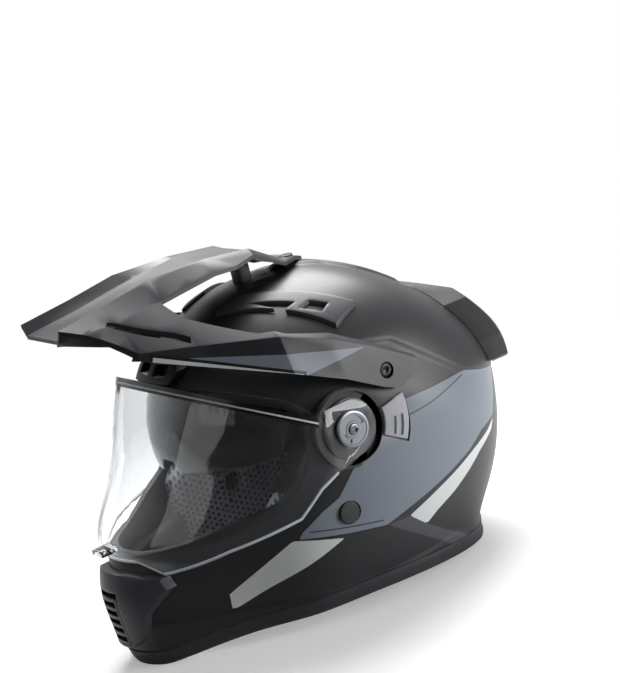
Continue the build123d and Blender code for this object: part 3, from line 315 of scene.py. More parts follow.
def eased(values, low, high):
    """0 below low, 1 above high, and a smooth step between."""
    t = np.clip((values - low) / (high - low), 0, 1)
    return t * t * (3 - 2 * t)


# Moulded relief, in heights above the plain form: the raised spine over the crown, the brow
# crease from the peak's arm to the rear ridge with a drawn-in side below it, and the crease
# along the jaw with a soft hollow above it
spine_rise, spine_step, spine_above = 2.6, (-4.2, 1.4), 150
side_depth, side_step, side_end, side_from = 1.7, (-0.8, 2.5), (6, 46), (-30, 30)
jaw_rise, jaw_half_step = 1.0, 1.2
hollow_depth, hollow_lift, hollow_spread, hollow_from = 1.6, 13, 11, (20, 90)
normals = net_normals(net)
flat = net.reshape(-1, 3)
plan, profile = flat[:, [0, 1]], flat[:, [1, 2]]
spine = [(0, 20), (13, 24), (17, 56), (27, 82), (25, 118), (6, 124), (0, 124)]
spine += [(-x, y) for x, y in spine[-2:0:-1]]
raised = spine_rise * (1 - eased(inside_distance(plan, spine), *spine_step))
raised *= flat[:, 2] > spine_above
crease = np.array(((-60, 218), (10, 203), (46, 194), (104, 147), (150, 133), (176, 142)), float)
crease_height = np.interp(flat[:, 1], crease[:, 0], crease[:, 1])
below = crease_height - flat[:, 2]
fade = eased(flat[:, 1], *side_from)
drawn_in = -side_depth * eased(below, *side_step) * (1 - eased(below, *side_end)) * fade
jaw = np.array(((-183, 36), (-145, 33), (-78, 27), (-7, 24), (48, 26), (62, 27), (86, 15),
                (178, 14)))
jaw_height = np.interp(flat[:, 1], jaw[:, 0], jaw[:, 1])
jaw_step = jaw_rise * eased(jaw_height - flat[:, 2], -jaw_half_step, jaw_half_step)
over_jaw = (flat[:, 2] - jaw_height - hollow_lift) / hollow_spread
hollow = -hollow_depth * np.exp(-over_jaw ** 2) * eased(-flat[:, 1], *hollow_from)
flat = flat + normals.reshape(-1, 3) * (raised + drawn_in + jaw_step + hollow)[:, None]
ring, layers = net.shape[1], net.shape[0]
faces = [(i * ring + j, i * ring + (j + 1) % ring, (i + 1) * ring + (j + 1) % ring,
          (i + 1) * ring + j) for i in range(layers - 1) for j in range(ring)]
crown_tip = crown_centre + (0, 0, cap_rise)
points = flat.tolist() + [crown_tip.tolist()]
faces += [((layers - 1) * ring + j, (layers - 1) * ring + (j + 1) % ring, layers * ring)
          for j in range(ring)]
shell = new_object("shell_moulding", points, faces)
skin = shell.modifiers.new("wall", "SOLIDIFY")
skin.thickness, skin.offset = wall * mm, -1


def prism(outline, low, high, axis):
    """An outline run from low to high along X, Y or Z, as points and faces."""
    order = {"X": (2, 0, 1), "Y": (0, 2, 1), "Z": (0, 1, 2)}[axis]
    count = len(outline)
    ends = [np.c_[np.array(outline, float), np.full(count, end)][:, order] for end in (low, high)]
    faces = [list(range(count))[::-1], [count + i for i in range(count)]]
    faces += [(i, (i + 1) % count, count + (i + 1) % count, count + i) for i in range(count)]
    return np.vstack(ends).tolist(), faces


def rounded(outline, radius, steps=6):
    """The outline with its corners rounded."""
    made = []
    outline = np.array(outline, float)
    for before, corner, after in zip(np.roll(outline, 1, axis=0), outline,
                                     np.roll(outline, -1, axis=0)):
        a, b = before - corner, after - corner
        length_a, length_b = np.linalg.norm(a), np.linalg.norm(b)
        half = np.arccos(np.clip(a @ b / length_a / length_b, -1, 1)) / 2
        cut = min(radius / tan(half), 0.45 * length_a, 0.45 * length_b)
        start, end = corner + a / length_a * cut, corner + b / length_b * cut
        for t in np.linspace(0, 1, steps):
            made.append((1 - t) ** 2 * start + 2 * t * (1 - t) * corner + t * t * end)
    return [tuple(point) for point in made]


def circle(centre, radius, steps=72):
    """A round outline."""
    return [(centre[0] + radius * cos(2 * pi * i / steps),
             centre[1] + radius * sin(2 * pi * i / steps)) for i in range(steps)]


def fan(centre, inner, outer, low_angle, high_angle, steps=24):
    """A fan-shaped outline about a centre."""
    angles = np.radians(np.linspace(low_angle, high_angle, steps))
    return ([(centre[0] + outer * cos(a), centre[1] + outer * sin(a)) for a in angles]
            + [(centre[0] + inner * cos(a), centre[1] + inner * sin(a)) for a in angles[::-1]])


def joined(name, parts):
    """Several closed forms as one object, faces turned outward."""
    points, faces = [], []
    for part_points, part_faces in parts:
        faces += [[i + len(points) for i in face] for face in part_faces]
        points += list(part_points)
    made = new_object(name, points, faces)
    mesh = bmesh.new()
    mesh.from_mesh(made.data)
    bmesh.ops.recalc_face_normals(mesh, faces=mesh.faces)
    mesh.to_mesh(made.data)
    mesh.free()
    return made


def settle(piece):
    """Applies the piece's modifiers."""
    bpy.context.view_layer.update()
    seen_now = piece.evaluated_get(bpy.context.evaluated_depsgraph_get())
    piece.data = bpy.data.meshes.new_from_object(seen_now)
    piece.modifiers.clear()


def smooth(piece, angle=38):
    """Smooth shading, with the edges sharper than the angle kept."""
    piece.data.polygons.foreach_set("use_smooth", [True] * len(piece.data.polygons))
    piece.data.set_sharp_from_angle(angle=radians(angle))


def cut_with(piece, parts, angle=38, way="DIFFERENCE"):
    """Cuts closed forms out of a piece, or keeps only what lies inside them."""
    tool = joined("cutting_tool", parts)
    cut = piece.modifiers.new("cut", "BOOLEAN")
    cut.operation, cut.object, cut.solver = way, tool, "EXACT"
    settle(piece)
    bpy.data.objects.remove(tool)
    smooth(piece, angle)


pivot = (-14.0, 145.0)
eyeport = rounded([(y * front_reach, z * shell_height) for y, z in (
    (-1.16, 0.335), (-0.745, 0.358), (-0.565, 0.392), (-0.415, 0.418), (-0.315, 0.486),
    (-0.24, 0.582), (-0.22, 0.645), (-0.285, 0.693), (-0.44, 0.749), (-0.62, 0.788),
    (-1.16, 0.84))], 7.0)
arch_front, arch_rear, arch_rise = -168.0, 105.0, 13.0


def under_edge(rise):
    """The side outline of what lies under the arched bottom edge."""
    middle_y, depth = (arch_front + arch_rear) / 2, arch_rise
    half = (arch_rear - arch_front) / 2
    radius = (half ** 2 + depth ** 2) / (2 * depth)
    arch = [(middle_y + x, rise + (radius ** 2 - x ** 2) ** 0.5 - radius + depth)
            for x in np.linspace(-half, half, 40)]
    return [(-260, -30), (-260, rise)] + arch + [(260, rise), (260, -30)]


# Openings, each cut from well outside: the eyeport, the arched edge, the seats of the base plates
# and plugs, the lever's recess on the left and the three chin slots
outside, trim_seat, seat_depth = 150, 2.0, 113.5
cup_radius, plug_centre, plug_seat_radius, plug_depth = 28.2, (-30.0, 83.0), 9.1, 110.2
lever_recess, lever_floor = (28.6, 52.2, -31.2, 27.2), 116.9
slot_half, slot_low, slot_pitch, slot_height = 11, 28.5, 12, 7
shell_crisp = cup_crisp = 32
cuts = [prism(eyeport, -outside, outside, "X"),
        prism(under_edge(trim_seat), -outside - 1, outside + 1, "X")]
for side in (1, -1):
    for centre, radius, depth in ((pivot, cup_radius, seat_depth),
                                  (plug_centre, plug_seat_radius, plug_depth)):
        cuts.append(prism(circle(centre, radius), side * depth, side * (outside + 2), "X"))
cuts.append(prism(fan(pivot, *lever_recess), lever_floor, outside + 3, "X"))
for index in range(3):
    low = slot_low + slot_pitch * index
    cuts.append(prism([(-slot_half, low), (slot_half, low), (slot_half, low + slot_height),
                       (-slot_half, low + slot_height)], -260, -120, "Y"))
cut_with(shell, cuts, shell_crisp)


def write_distance(piece, name, outline):
    """Keeps each point's distance from a side outline, in millimetres, for the paint."""
    co = np.zeros(len(piece.data.vertices) * 3)
    piece.data.vertices.foreach_get("co", co)
    values = inside_distance(co.reshape(-1, 3)[:, 1:] / mm, outline)
    made = piece.data.attributes.new(name, "FLOAT", "POINT")
    made.data.foreach_set("value", values.astype(np.float32))


# Paint outlines on the shell's sides, as (y, z)
side_panel = [(8, 150), (34, 149.5), (104, 147), (128, 138), (152, 131), (140, 112), (131, 98.5),
              (108, 95.4), (88.7, 87), (65.5, 80.2), (41, 73.7), (15.8, 67.4), (-3, 62.3),
              (-33.5, 67.5), (-70, 75), (-66.4, 79.8), (-49.6, 91), (-35.5, 97.1), (-20, 114),
              (-9, 120.3), (2, 130)]
rear_stripe = [(131, 96.6), (117.5, 91.2), (93, 85.1), (70.3, 78.1), (46.9, 71.2), (24.2, 63.9),
               (17.5, 61.6), (32, 48.8), (44.2, 55.2), (65.6, 63), (84.6, 71.7), (102.3, 80.9),
               (124, 88.6)]
low_band = [(-3, 62.3), (17.5, 61.2), (32, 48.8), (62, 27.5), (80, 16), (86, 10), (70, 8),
            (48, 26)]
jaw_stripe = [(-74, 75), (-38, 65.3), (-116, 32.2), (-132, 34.6)]
for panel, outline in (("side_panel", side_panel), ("rear_stripe", rear_stripe),
                       ("low_band", low_band), ("jaw_stripe", jaw_stripe)):
    write_distance(shell, panel, outline)
# Fine lines inside the panel, each from one point of the side view to the next
fine_lines = [((14, 134.8), (60, 138.5)), ((60, 138.5), (101, 144.5)), ((-62, 78.5), (-33, 72.2)),
              ((-33, 72.2), (-5, 67))]
fine_line_half = 0.5
# Matt two-stage lacquer over the moulding: a fine orange peel under a soft wide sheen, with
# masked colour panels whose edges are crisp
lacquer_grain_mm, lacquer_mottle_mm, masking_soft_mm = 0.9, 40.0, 0.12
rim_black, outward_mm = "#101115", 12


def convex_depth(tree, where, outline):
    """How deep a place lies inside a convex outline drawn on the side view, in metres."""
    area = sum(a[0] * b[1] - b[0] * a[1] for a, b in zip(outline, outline[1:] + outline[:1]))
    turned = outline if area > 0 else outline[::-1]
    deepest = None
    for a, b in zip(turned, turned[1:] + turned[:1]):
        length = ((b[0] - a[0]) ** 2 + (b[1] - a[1]) ** 2) ** 0.5
        inward = (-(b[1] - a[1]) / length, (b[0] - a[0]) / length)
        start = (inward[0] * a[0] + inward[1] * a[1]) * mm
        along = add_node(tree, "VectorMath", {"operation": "DOT_PRODUCT", 1: (0, *inward)},
                         {0: where})
        depth = add_node(tree, "Math", {"operation": "SUBTRACT", 1: start},
                         {0: along.outputs["Value"]})
        if deepest is None:
            deepest = depth.outputs[0]
        else:
            deepest = add_node(tree, "Math", {"operation": "MINIMUM"},
                               {0: deepest, 1: depth.outputs[0]}).outputs[0]
    return deepest


def strip(a, b, half):
    """The outline of a thin straight strip from a to b."""
    length = ((b[0] - a[0]) ** 2 + (b[1] - a[1]) ** 2) ** 0.5
    off = (-(b[1] - a[1]) / length * half, (b[0] - a[0]) / length * half)
    return [(a[0] + off[0], a[1] + off[1]), (b[0] + off[0], b[1] + off[1]),
            (b[0] - off[0], b[1] - off[1]), (a[0] - off[0], a[1] - off[1])]


def lacquer(name, base, panels, roughness=0.4, beyond=0.0):
    """Matt lacquer with masked panels. Each is a distance attribute or a convex outline on the
    side view, a colour, and the width of the black line round it. Panels lie beyond a distance
    from the middle plane, on what faces outward."""
    made, tree, out = new_material(name)
    where = add_node(tree, "TexCoord").outputs["Object"]
    mottle = add_node(tree, "TexNoise", {"Scale": 1000 / lacquer_mottle_mm, "Detail": 3.0},
                      {"Vector": where})
    shade = add_node(tree, "MapRange", {"To Min": 0.94, "To Max": 1.06},
                     {"Value": mottle.outputs["Fac"]})
    split = add_node(tree, "SeparateXYZ", {}, {0: where})
    across = add_node(tree, "Math", {"operation": "ABSOLUTE"}, {0: split.outputs[0]})
    masked = add_node(tree, "Math", {"operation": "GREATER_THAN", 1: beyond * mm},
                      {0: across.outputs[0]})
    if beyond:
        surface = add_node(tree, "NewGeometry")
        facing = add_node(tree, "SeparateXYZ", {}, {0: surface.outputs["Normal"]})
        outward = add_node(tree, "Math", {"operation": "MULTIPLY"},
                           {0: split.outputs[0], 1: facing.outputs[0]})
        faces_out = add_node(tree, "Math", {"operation": "GREATER_THAN", 1: outward_mm * mm},
                             {0: outward.outputs[0]})
        masked = add_node(tree, "Math", {"operation": "MULTIPLY"},
                          {0: masked.outputs[0], 1: faces_out.outputs[0]})
    colour = add_node(tree, "RGB").outputs[0]
    colour.default_value = linear(base)
    for source, tint, rim in panels:
        if isinstance(source, str):
            distance = add_node(tree, "Attribute", {"attribute_name": source})
            depth = add_node(tree, "Math", {"operation": "MULTIPLY", 1: -mm},
                             {0: distance.outputs["Fac"]}).outputs[0]
        else:
            depth = convex_depth(tree, where, source)
        for start, paint in ((-rim, rim_black), (0, tint)):
            cover = add_node(tree, "MapRange", {"From Min": (start - masking_soft_mm) * mm,
                                                "From Max": (start + masking_soft_mm) * mm},
                             {"Value": depth})
            kept = add_node(tree, "Math", {"operation": "MULTIPLY"},
                            {0: cover.outputs[0], 1: masked.outputs[0]})
            colour = add_node(tree, "Mix", {"data_type": "RGBA", 7: linear(paint)},
                              {0: kept.outputs[0], 6: colour}).outputs[2]
    toned = add_node(tree, "VectorMath", {"operation": "SCALE"}, {0: colour, 3: shade.outputs[0]})
    grain = add_node(tree, "TexNoise", {"Scale": 1000 / lacquer_grain_mm, "Detail": 2.0},
                     {"Vector": where})
    sheen = add_node(tree, "MapRange", {"To Min": roughness - 0.04, "To Max": roughness + 0.04},
                     {"Value": grain.outputs["Fac"]})
    peel = add_node(tree, "Bump", {"Strength": 0.12, "Distance": 0.00006},
                    {"Height": grain.outputs["Fac"]})
    coat = add_node(tree, "BsdfPrincipled", {"IOR": 1.5},
                    {"Base Color": toned.outputs[0], "Roughness": sheen.outputs[0],
                     "Normal": peel.outputs[0]})
    tree.links.new(coat.outputs[0], out.inputs["Surface"])
    return made


matt_black, blue_grey, graphite, silver_white = "#232427", "#79818c", "#46474c", "#d2d5d5"
fine_line_grey, panel_rim, panels_beyond = "#33363d", 1.2, 60.0
shell.data.materials.clear()
shell.data.materials.append(lacquer(
    "matt_lacquered_polycarbonate", matt_black,
    [("low_band", graphite, 0.0), ("side_panel", blue_grey, panel_rim),
     ("rear_stripe", silver_white, 0.0), ("jaw_stripe", silver_white, 0.0)]
    + [(strip(a, b, fine_line_half), fine_line_grey, 0.0) for a, b in fine_lines],
    beyond=panels_beyond))
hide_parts("shell")
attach(shell, "helmet")

# Cups moulded into the shell behind each base plate, which close the wall round the pivots
cup_back, cup_lip, cup_wall = 111.0, 116.4, 2.0
for side, name in ((1, "pivot_cup_left"), (-1, "pivot_cup_right")):
    cup = joined(name, [prism(circle(pivot, cup_radius + cup_wall), side * cup_back,
                              side * cup_lip, "X")])
    cut_with(cup, [prism(circle(pivot, cup_radius), side * seat_depth, side * (outside - 20),
                         "X")], cup_crisp)
    cup.data.materials.append(lacquer("matt_lacquered_cup", "#17181a", []))
    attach(cup, "helmet")

# The rubber trim round the bottom edge and the rubber seal round the eyeport are extruded
# profiles pushed over the moulding's edge, each a soft rounded bead.


def dressed(node, name, bevel=0.4, angle=30, crisp=38):
    """A copy of a solid's mesh, its flat faces whole again. Edges sharper than angle are broken by
    the bevel in millimetres, and those sharper than crisp shade as edges."""
    mesh = bmesh.new()
    mesh.from_mesh(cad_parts[node].data)
    bmesh.ops.remove_doubles(mesh, verts=mesh.verts, dist=0.02 * mm)
    bmesh.ops.dissolve_limit(mesh, angle_limit=radians(0.4), verts=mesh.verts, edges=mesh.edges)
    data = bpy.data.meshes.new(name)
    mesh.to_mesh(data)
    mesh.free()
    piece = bpy.data.objects.new(name, data)
    scene.collection.objects.link(piece)
    if bevel:
        edge = piece.modifiers.new("broken_edges", "BEVEL")
        edge.width, edge.segments, edge.limit_method = bevel * mm, 2, "ANGLE"
        edge.angle_limit = radians(angle)
        settle(piece)
    smooth(piece, crisp)
    return piece


def fitted(piece, material, slot, *nodes, body="helmet"):
    """Gives a piece its material and its body, and hides the solids that it stands for."""
    piece.data.materials.clear()
    piece.data.materials.append(material)
    if nodes:
        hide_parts(*nodes)
    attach(piece, body)
    return piece


# EPDM rubber, extruded: dull, slightly dusty black with a fine talc grain
rubber_grain_mm, dust_patch_mm = 0.7, 18.0


def rubber(name, colour, dusty, roughness):
    """Rubber whose tone drifts between two in soft patches."""
    made, tree, out = new_material(name)
    where = add_node(tree, "TexCoord")
    patch = add_node(tree, "TexNoise", {"Scale": 1000 / dust_patch_mm, "Detail": 4.0},
                     {"Vector": where.outputs["Object"]})
    tone = add_node(tree, "Mix", {"data_type": "RGBA", 6: linear(colour), 7: linear(dusty)},
                    {0: patch.outputs["Fac"]})
    grain = add_node(tree, "TexNoise", {"Scale": 1000 / rubber_grain_mm, "Detail": 2.0},
                     {"Vector": where.outputs["Object"]})
    sheen = add_node(tree, "MapRange", {"To Min": roughness - 0.06, "To Max": roughness + 0.06},
                     {"Value": grain.outputs["Fac"]})
    bump = add_node(tree, "Bump", {"Strength": 0.25, "Distance": 0.00008},
                    {"Height": grain.outputs["Fac"]})
    coat = add_node(tree, "BsdfPrincipled", {"IOR": 1.52},
                    {"Base Color": tone.outputs[2], "Roughness": sheen.outputs[0],
                     "Normal": bump.outputs[0]})
    tree.links.new(coat.outputs[0], out.inputs["Surface"])
    return made


edge_rubber = rubber("extruded_black_rubber", "#242529", "#303136", 0.55)
seal_rubber = rubber("soft_seal_rubber", "#141417", "#1e1e21", 0.42)
fitted(dressed("base_trim", "edge_trim", 0.9), edge_rubber, "trim", "base_trim")
fitted(dressed("eyeport_seal", "eyeport_bead", 0.5), seal_rubber, "seal", "eyeport_seal")

# Shield mechanism at each pivot: a black acetal base plate with its hub, a satin aluminium cap
# with two key slots, and a countersunk steel screw with a six-lobed recess.


def six_lobes(centre, radius):
    """The star outline of a screw's recess."""
    return [(centre[0] + (0.86 + 0.14 * cos(6 * a)) * radius * cos(a),
             centre[1] + (0.86 + 0.14 * cos(6 * a)) * radius * sin(a))
            for a in np.linspace(0, 2 * pi, 60, endpoint=False)]


# Moulded engineering plastic: an even spark-eroded grain that makes a soft broken highlight
spark_grain_mm, flow_mark_mm = 0.6, 30.0


def moulded(name, colour, roughness, grain_depth_mm=0.04):
    """Plastic with faint flow marks under an even grain."""
    made, tree, out = new_material(name)
    where = add_node(tree, "TexCoord")
    flow = add_node(tree, "TexNoise", {"Scale": 1000 / flow_mark_mm, "Detail": 3.0},
                    {"Vector": where.outputs["Object"]})
    shade = add_node(tree, "MapRange", {"To Min": 0.90, "To Max": 1.10},
                     {"Value": flow.outputs["Fac"]})
    base = add_node(tree, "RGB").outputs[0]
    base.default_value = linear(colour)
    toned = add_node(tree, "VectorMath", {"operation": "SCALE"}, {0: base, 3: shade.outputs[0]})
    grain = add_node(tree, "TexNoise", {"Scale": 1000 / spark_grain_mm, "Detail": 2.0},
                     {"Vector": where.outputs["Object"]})
    sheen = add_node(tree, "MapRange", {"To Min": roughness - 0.05, "To Max": roughness + 0.05},
                     {"Value": grain.outputs["Fac"]})
    bump = add_node(tree, "Bump", {"Strength": 0.3, "Distance": grain_depth_mm * mm},
                    {"Height": grain.outputs["Fac"]})
    coat = add_node(tree, "BsdfPrincipled", {"IOR": 1.5},
                    {"Base Color": toned.outputs[0], "Roughness": sheen.outputs[0],
                     "Normal": bump.outputs[0]})
    tree.links.new(coat.outputs[0], out.inputs["Surface"])
    return made


# Metal: satin aluminium and zinc-plated steel, finely brushed
brush_line_mm = 0.35


def metal(name, colour, roughness):
    """Metal with fine lines along one way, in its tone and its gloss."""
    made, tree, out = new_material(name)
    where = add_node(tree, "TexCoord")
    lines = add_node(tree, "Mapping", {"Scale": (1000 / brush_line_mm, 1000 / brush_line_mm, 60)},
                     {"Vector": where.outputs["Object"]})
    brushed = add_node(tree, "TexNoise", {"Scale": 1.0, "Detail": 3.0},
                       {"Vector": lines.outputs[0]})
    tone = add_node(tree, "MapRange", {"To Min": 0.88, "To Max": 1.06},
                    {"Value": brushed.outputs["Fac"]})
    base = add_node(tree, "RGB").outputs[0]
    base.default_value = linear(colour)
    toned = add_node(tree, "VectorMath", {"operation": "SCALE"}, {0: base, 3: tone.outputs[0]})
    sheen = add_node(tree, "MapRange", {"To Min": roughness - 0.06, "To Max": roughness + 0.08},
                     {"Value": brushed.outputs["Fac"]})
    coat = add_node(tree, "BsdfPrincipled", {"Metallic": 1.0},
                    {"Base Color": toned.outputs[0], "Roughness": sheen.outputs[0]})
    tree.links.new(coat.outputs[0], out.inputs["Surface"])
    return made


def turned(name, profile, centre, side, steps=96):
    """A part turned about an axis along X. The profile is (radius, x) from the rim in."""
    points, faces = [], []
    for radius, x in profile:
        points += [(side * x, centre[0] + radius * cos(2 * pi * i / steps),
                    centre[1] + radius * sin(2 * pi * i / steps)) for i in range(steps)]
    for row in range(len(profile) - 1):
        for i in range(steps):
            a, b = row * steps + i, row * steps + (i + 1) % steps
            faces.append((a, b, b + steps, a + steps))
    last = (len(profile) - 1) * steps
    faces += [tuple(range(steps)), tuple(last + i for i in range(steps))]
    return joined(name, [(points, faces)])


acetal = moulded("moulded_black_acetal", "#1b1c20", 0.38)
satin_aluminium = metal("satin_anodised_aluminium", "#8d9096", 0.34)
zinc_steel = metal("zinc_plated_steel", "#7d8187", 0.30)
# Cap: a plain disc with a shallow ring groove, two key slots in it and a bored middle
cap_profile = [(14.0, 118.3), (14.0, 119.7), (13.6, 120.3), (12.6, 120.6), (11.9, 120.6),
               (11.5, 120.2), (6.6, 120.2), (6.2, 120.6), (4.6, 120.6), (4.3, 120.3), (4.3, 118.3)]
key_inner, key_outer, key_half_angle, key_floor = 7.6, 10.6, 28, 119.2
lobe_radius, lobe_floor, past_screw = 2.3, 120.8, 124
for side, word in ((1, "left"), (-1, "right")):
    fitted(dressed("shield_base_plate_" + word, "pivot_plate_" + word, 0.3), acetal, "black",
           "shield_base_plate_" + word)
    cap = turned("pivot_cap_" + word, cap_profile, pivot, side)
    cut_with(cap, [prism(fan(pivot, key_inner, key_outer, turn - key_half_angle,
                             turn + key_half_angle), side * key_floor, side * past_screw, "X")
                   for turn in (40, 220)])
    fitted(cap, satin_aluminium, "silver", "shield_cap_" + word)
screws = dressed("shield_cap_screws", "pivot_screws", 0.25)
cut_with(screws, [prism(six_lobes(pivot, lobe_radius), side * lobe_floor, side * past_screw, "X")
                  for side in (1, -1)])
fitted(screws, zinc_steel, "steel", "shield_cap_screws")

# Face shield: injection-moulded clear polycarbonate, 2.2 mm, hard coated, with a black printed
# band and a raised rib along its top edge, and a lift tab at its front. The rib and the lower
# edge are coloured pale as a painted highlight.


def tinted_glass(name, colour, roughness, ior, tint_patch_mm):
    """Clear plastic that lamps shine through. Its tone drifts a little, as moulded sheet does."""
    made, tree, out = new_material(name)
    where = add_node(tree, "TexCoord")
    drift = add_node(tree, "TexNoise", {"Scale": 1000 / tint_patch_mm, "Detail": 2.0},
                     {"Vector": where.outputs["Object"]})
    shade = add_node(tree, "MapRange", {"To Min": 0.97, "To Max": 1.0},
                     {"Value": drift.outputs["Fac"]})
    base = add_node(tree, "RGB").outputs[0]
    base.default_value = linear(colour)
    toned = add_node(tree, "VectorMath", {"operation": "SCALE"}, {0: base, 3: shade.outputs[0]})
    haze = add_node(tree, "MapRange", {"To Min": roughness, "To Max": roughness + 0.02},
                    {"Value": drift.outputs["Fac"]})
    clear = add_node(tree, "BsdfPrincipled", {"IOR": ior, "Transmission Weight": 1.0},
                     {"Base Color": toned.outputs[0], "Roughness": haze.outputs[0]})
    through = add_node(tree, "BsdfTransparent", {}, {"Color": toned.outputs[0]})
    path = add_node(tree, "LightPath")
    mixed = add_node(tree, "MixShader", {}, {0: path.outputs["Is Shadow Ray"], 1: clear.outputs[0],
                                             2: through.outputs[0]})
    tree.links.new(mixed.outputs[0], out.inputs["Surface"])
    return made


shield = dressed("face_shield", "clear_face_shield", 0.3)
clear_sheet = tinted_glass("hard_coated_clear_polycarbonate", "#f4f6f8", 0.015, 1.585, 60.0)
fitted(shield, clear_sheet, "clear", "face_shield", body="shield")
# Its edges on the side view, as (y, z)
top_edge = [(-40, 163.5), (-101, 199.2), (-125, 213), (-232, 250.5)]
low_edge = [(-232, 86.6), (-171, 86.6), (-161, 76), (-123, 86), (-71, 94), (-50, 110),
            (-34, 117)]


def shield_strip(name, line, near, far, proud_mm, material, slot):
    """A strip of the shield's skin between two offsets below a line drawn on the side view."""
    strip_piece = dressed("face_shield", name, 0)
    outline = [(y, z - near) for y, z in line] + [(y, z - far) for y, z in line[::-1]]
    cut_with(strip_piece, [prism(outline, -outside, outside, "X")], way="INTERSECT")
    proud = strip_piece.modifiers.new("proud", "DISPLACE")
    proud.strength, proud.mid_level = proud_mm * mm, 0
    settle(strip_piece)
    smooth(strip_piece)
    fitted(strip_piece, material, slot, body="shield")


# Screen-printed black ceramic ink: even, dense and satin. The pale rib in it and the pale lower
# edge are painted highlights: an opaque pale colour stands for the gleam along them
shield_strip("shield_top_band", top_edge, -3.5, 7.6, 0.15,
             moulded("screen_printed_black_ink", "#0d0e11", 0.24, 0.01), "black")
# Opaque pale colour for the gleam along the shield's edges: a painted highlight
painted_highlight_edge = moulded("polycarbonate_edge_painted_highlight", "#cfd3d8", 0.3, 0.01)
shield_strip("shield_top_rib_painted_highlight", top_edge, 4.0, 5.0, 0.3, painted_highlight_edge, "clear")
shield_strip("shield_low_edge_painted_highlight", low_edge, -1.6, 1.0, 0.12, painted_highlight_edge, "clear")

# Inner sun visor: smoke polycarbonate on steel pins, moved by a grey lever behind the left
# pivot with two raised finger ridges.
smoke_sheet = tinted_glass("smoke_tinted_polycarbonate", "#1d3c44", 0.02, 1.585, 70.0)
fitted(dressed("sun_visor", "smoke_sun_visor", 0.4), smoke_sheet, "smoke", "sun_visor",
       body="sun_visor")
fitted(dressed("sun_visor_pins", "visor_pins", 0.3), zinc_steel, "black", "sun_visor_pins")
lever = dressed("sun_visor_lever", "visor_lever_plate", 0.35)
grey_pom = moulded("moulded_light_grey_acetal", "#a6a8af", 0.42)
fitted(lever, grey_pom, "black", "sun_visor_lever", body="visor_lever")
ridge_radii, ridge_width, ridge_low, ridge_high = (38.0, 44.5), 2.0, -26, -6
lever_top, ridge_top, ridge_round = 119.0, 121.3, 0.7
ridge = joined("visor_lever_ridges", [
    prism(fan(pivot, inner, inner + ridge_width, ridge_low, ridge_high), lever_top, ridge_top, "X")
    for inner in ridge_radii])
edge = ridge.modifiers.new("round", "BEVEL")
edge.width, edge.segments, edge.limit_method = ridge_round * mm, 3, "ANGLE"
settle(ridge)
smooth(ridge)
fitted(ridge, grey_pom, None, body="visor_lever")

# Chin cover and its grille: graphite ABS, moulded in facets, clipped over the chin bar. The vent
# slider runs behind the slots, and the brow vent sits over the eyeport.
graphite_abs = moulded("moulded_graphite_abs", "#3a3b41", 0.44)
black_abs = moulded("moulded_black_abs", "#17181b", 0.45)
fitted(dressed("chin_cover", "chin_bar_cover", 0.8), graphite_abs, "graphite", "chin_cover")
fitted(dressed("chin_grille", "chin_bar_grille", 0.5), black_abs, "black", "chin_grille")
fitted(dressed("chin_vent_slider", "chin_slider_plate", 0.3), black_abs, "black",
       "chin_vent_slider", body="chin_slider")
fitted(dressed("brow_vent", "brow_vent_cover", 0.6), black_abs, "black", "brow_vent")

# Roof vents, rear exhaust cover and the round plugs that hold the cheek trim: moulded ABS covers
# glued into shallow seats in the shell, the rear one darker and duller than the others. The
# rear one is a dark part whose colour is darkened further with painted shade.
for word in ("left", "right"):
    fitted(dressed("roof_vent_" + word, "roof_vent_cover_" + word, 0.7), graphite_abs, "graphite",
           "roof_vent_" + word)
    plug = dressed("side_plug_" + word, "cheek_plug_" + word, 0.4)
    fitted(plug, black_abs, "black", "side_plug_" + word)
# The exhaust cover's near-black colour is partly painted shade
fitted(dressed("rear_exhaust_cover", "rear_exhaust_moulding", 1.0),
       moulded("moulded_graphite_abs_painted_shade", "#141518", 0.62), "graphite", "rear_exhaust_cover")

# Peak: injection-moulded ABS with a raised middle band, painted like the shell, held by a screw
# at each side and one under its black tongue.
side_triangle = [(-114, 233), (13, 200), (-41, 197)]
side_strip = [(-132, 239.5), (-43, 199), (-45, 193.4), (-134, 233.8)]
strip_rim, sides_beyond = 2.2, 64.0
peak_paint = lacquer("matt_painted_abs_peak", "#26272c",
                     [(side_triangle, blue_grey, 0.0), (side_strip, silver_white, strip_rim)],
                     beyond=sides_beyond)
fitted(dressed("peak", "peak_moulding", 0.7, 12, 14), peak_paint, "graphite", "peak")
fitted(dressed("peak_mounts", "peak_post_and_seat", 0.5), black_abs, "black", "peak_mounts")
black_steel = metal("black_oxide_steel", "#3a3b3f", 0.34)
fitted(dressed("peak_side_screws", "peak_screws_side", 0.3), black_steel, "steel",
       "peak_side_screws")
top_steel = metal("black_oxide_steel_top", "#3a3b3f", 0.36)
fitted(dressed("peak_top_screw", "peak_screw_top", 0.3), top_steel, "steel", "peak_top_screw")

# Energy liners: expanded polystyrene beads fused in a mould, dark grey, one over the head and
# one in the chin bar.


def soft_copy(node, name, voxel, turns, swell):
    """A solid's mesh remade even and soft, with rounded edges and a slight crown."""
    piece = dressed(node, name, 0)
    grid = piece.modifiers.new("even", "REMESH")
    grid.mode, grid.voxel_size = "VOXEL", voxel * mm
    relaxed = piece.modifiers.new("relaxed", "SMOOTH")
    relaxed.factor, relaxed.iterations = 0.5, turns
    crowned = piece.modifiers.new("crowned", "DISPLACE")
    crowned.strength, crowned.mid_level = swell * mm, 0
    settle(piece)
    piece.data.polygons.foreach_set("use_smooth", [True] * len(piece.data.polygons))
    return piece


# Fused beads, 3.5 mm across: each shows as a faint cell with a darker joint
bead_mm = 3.5


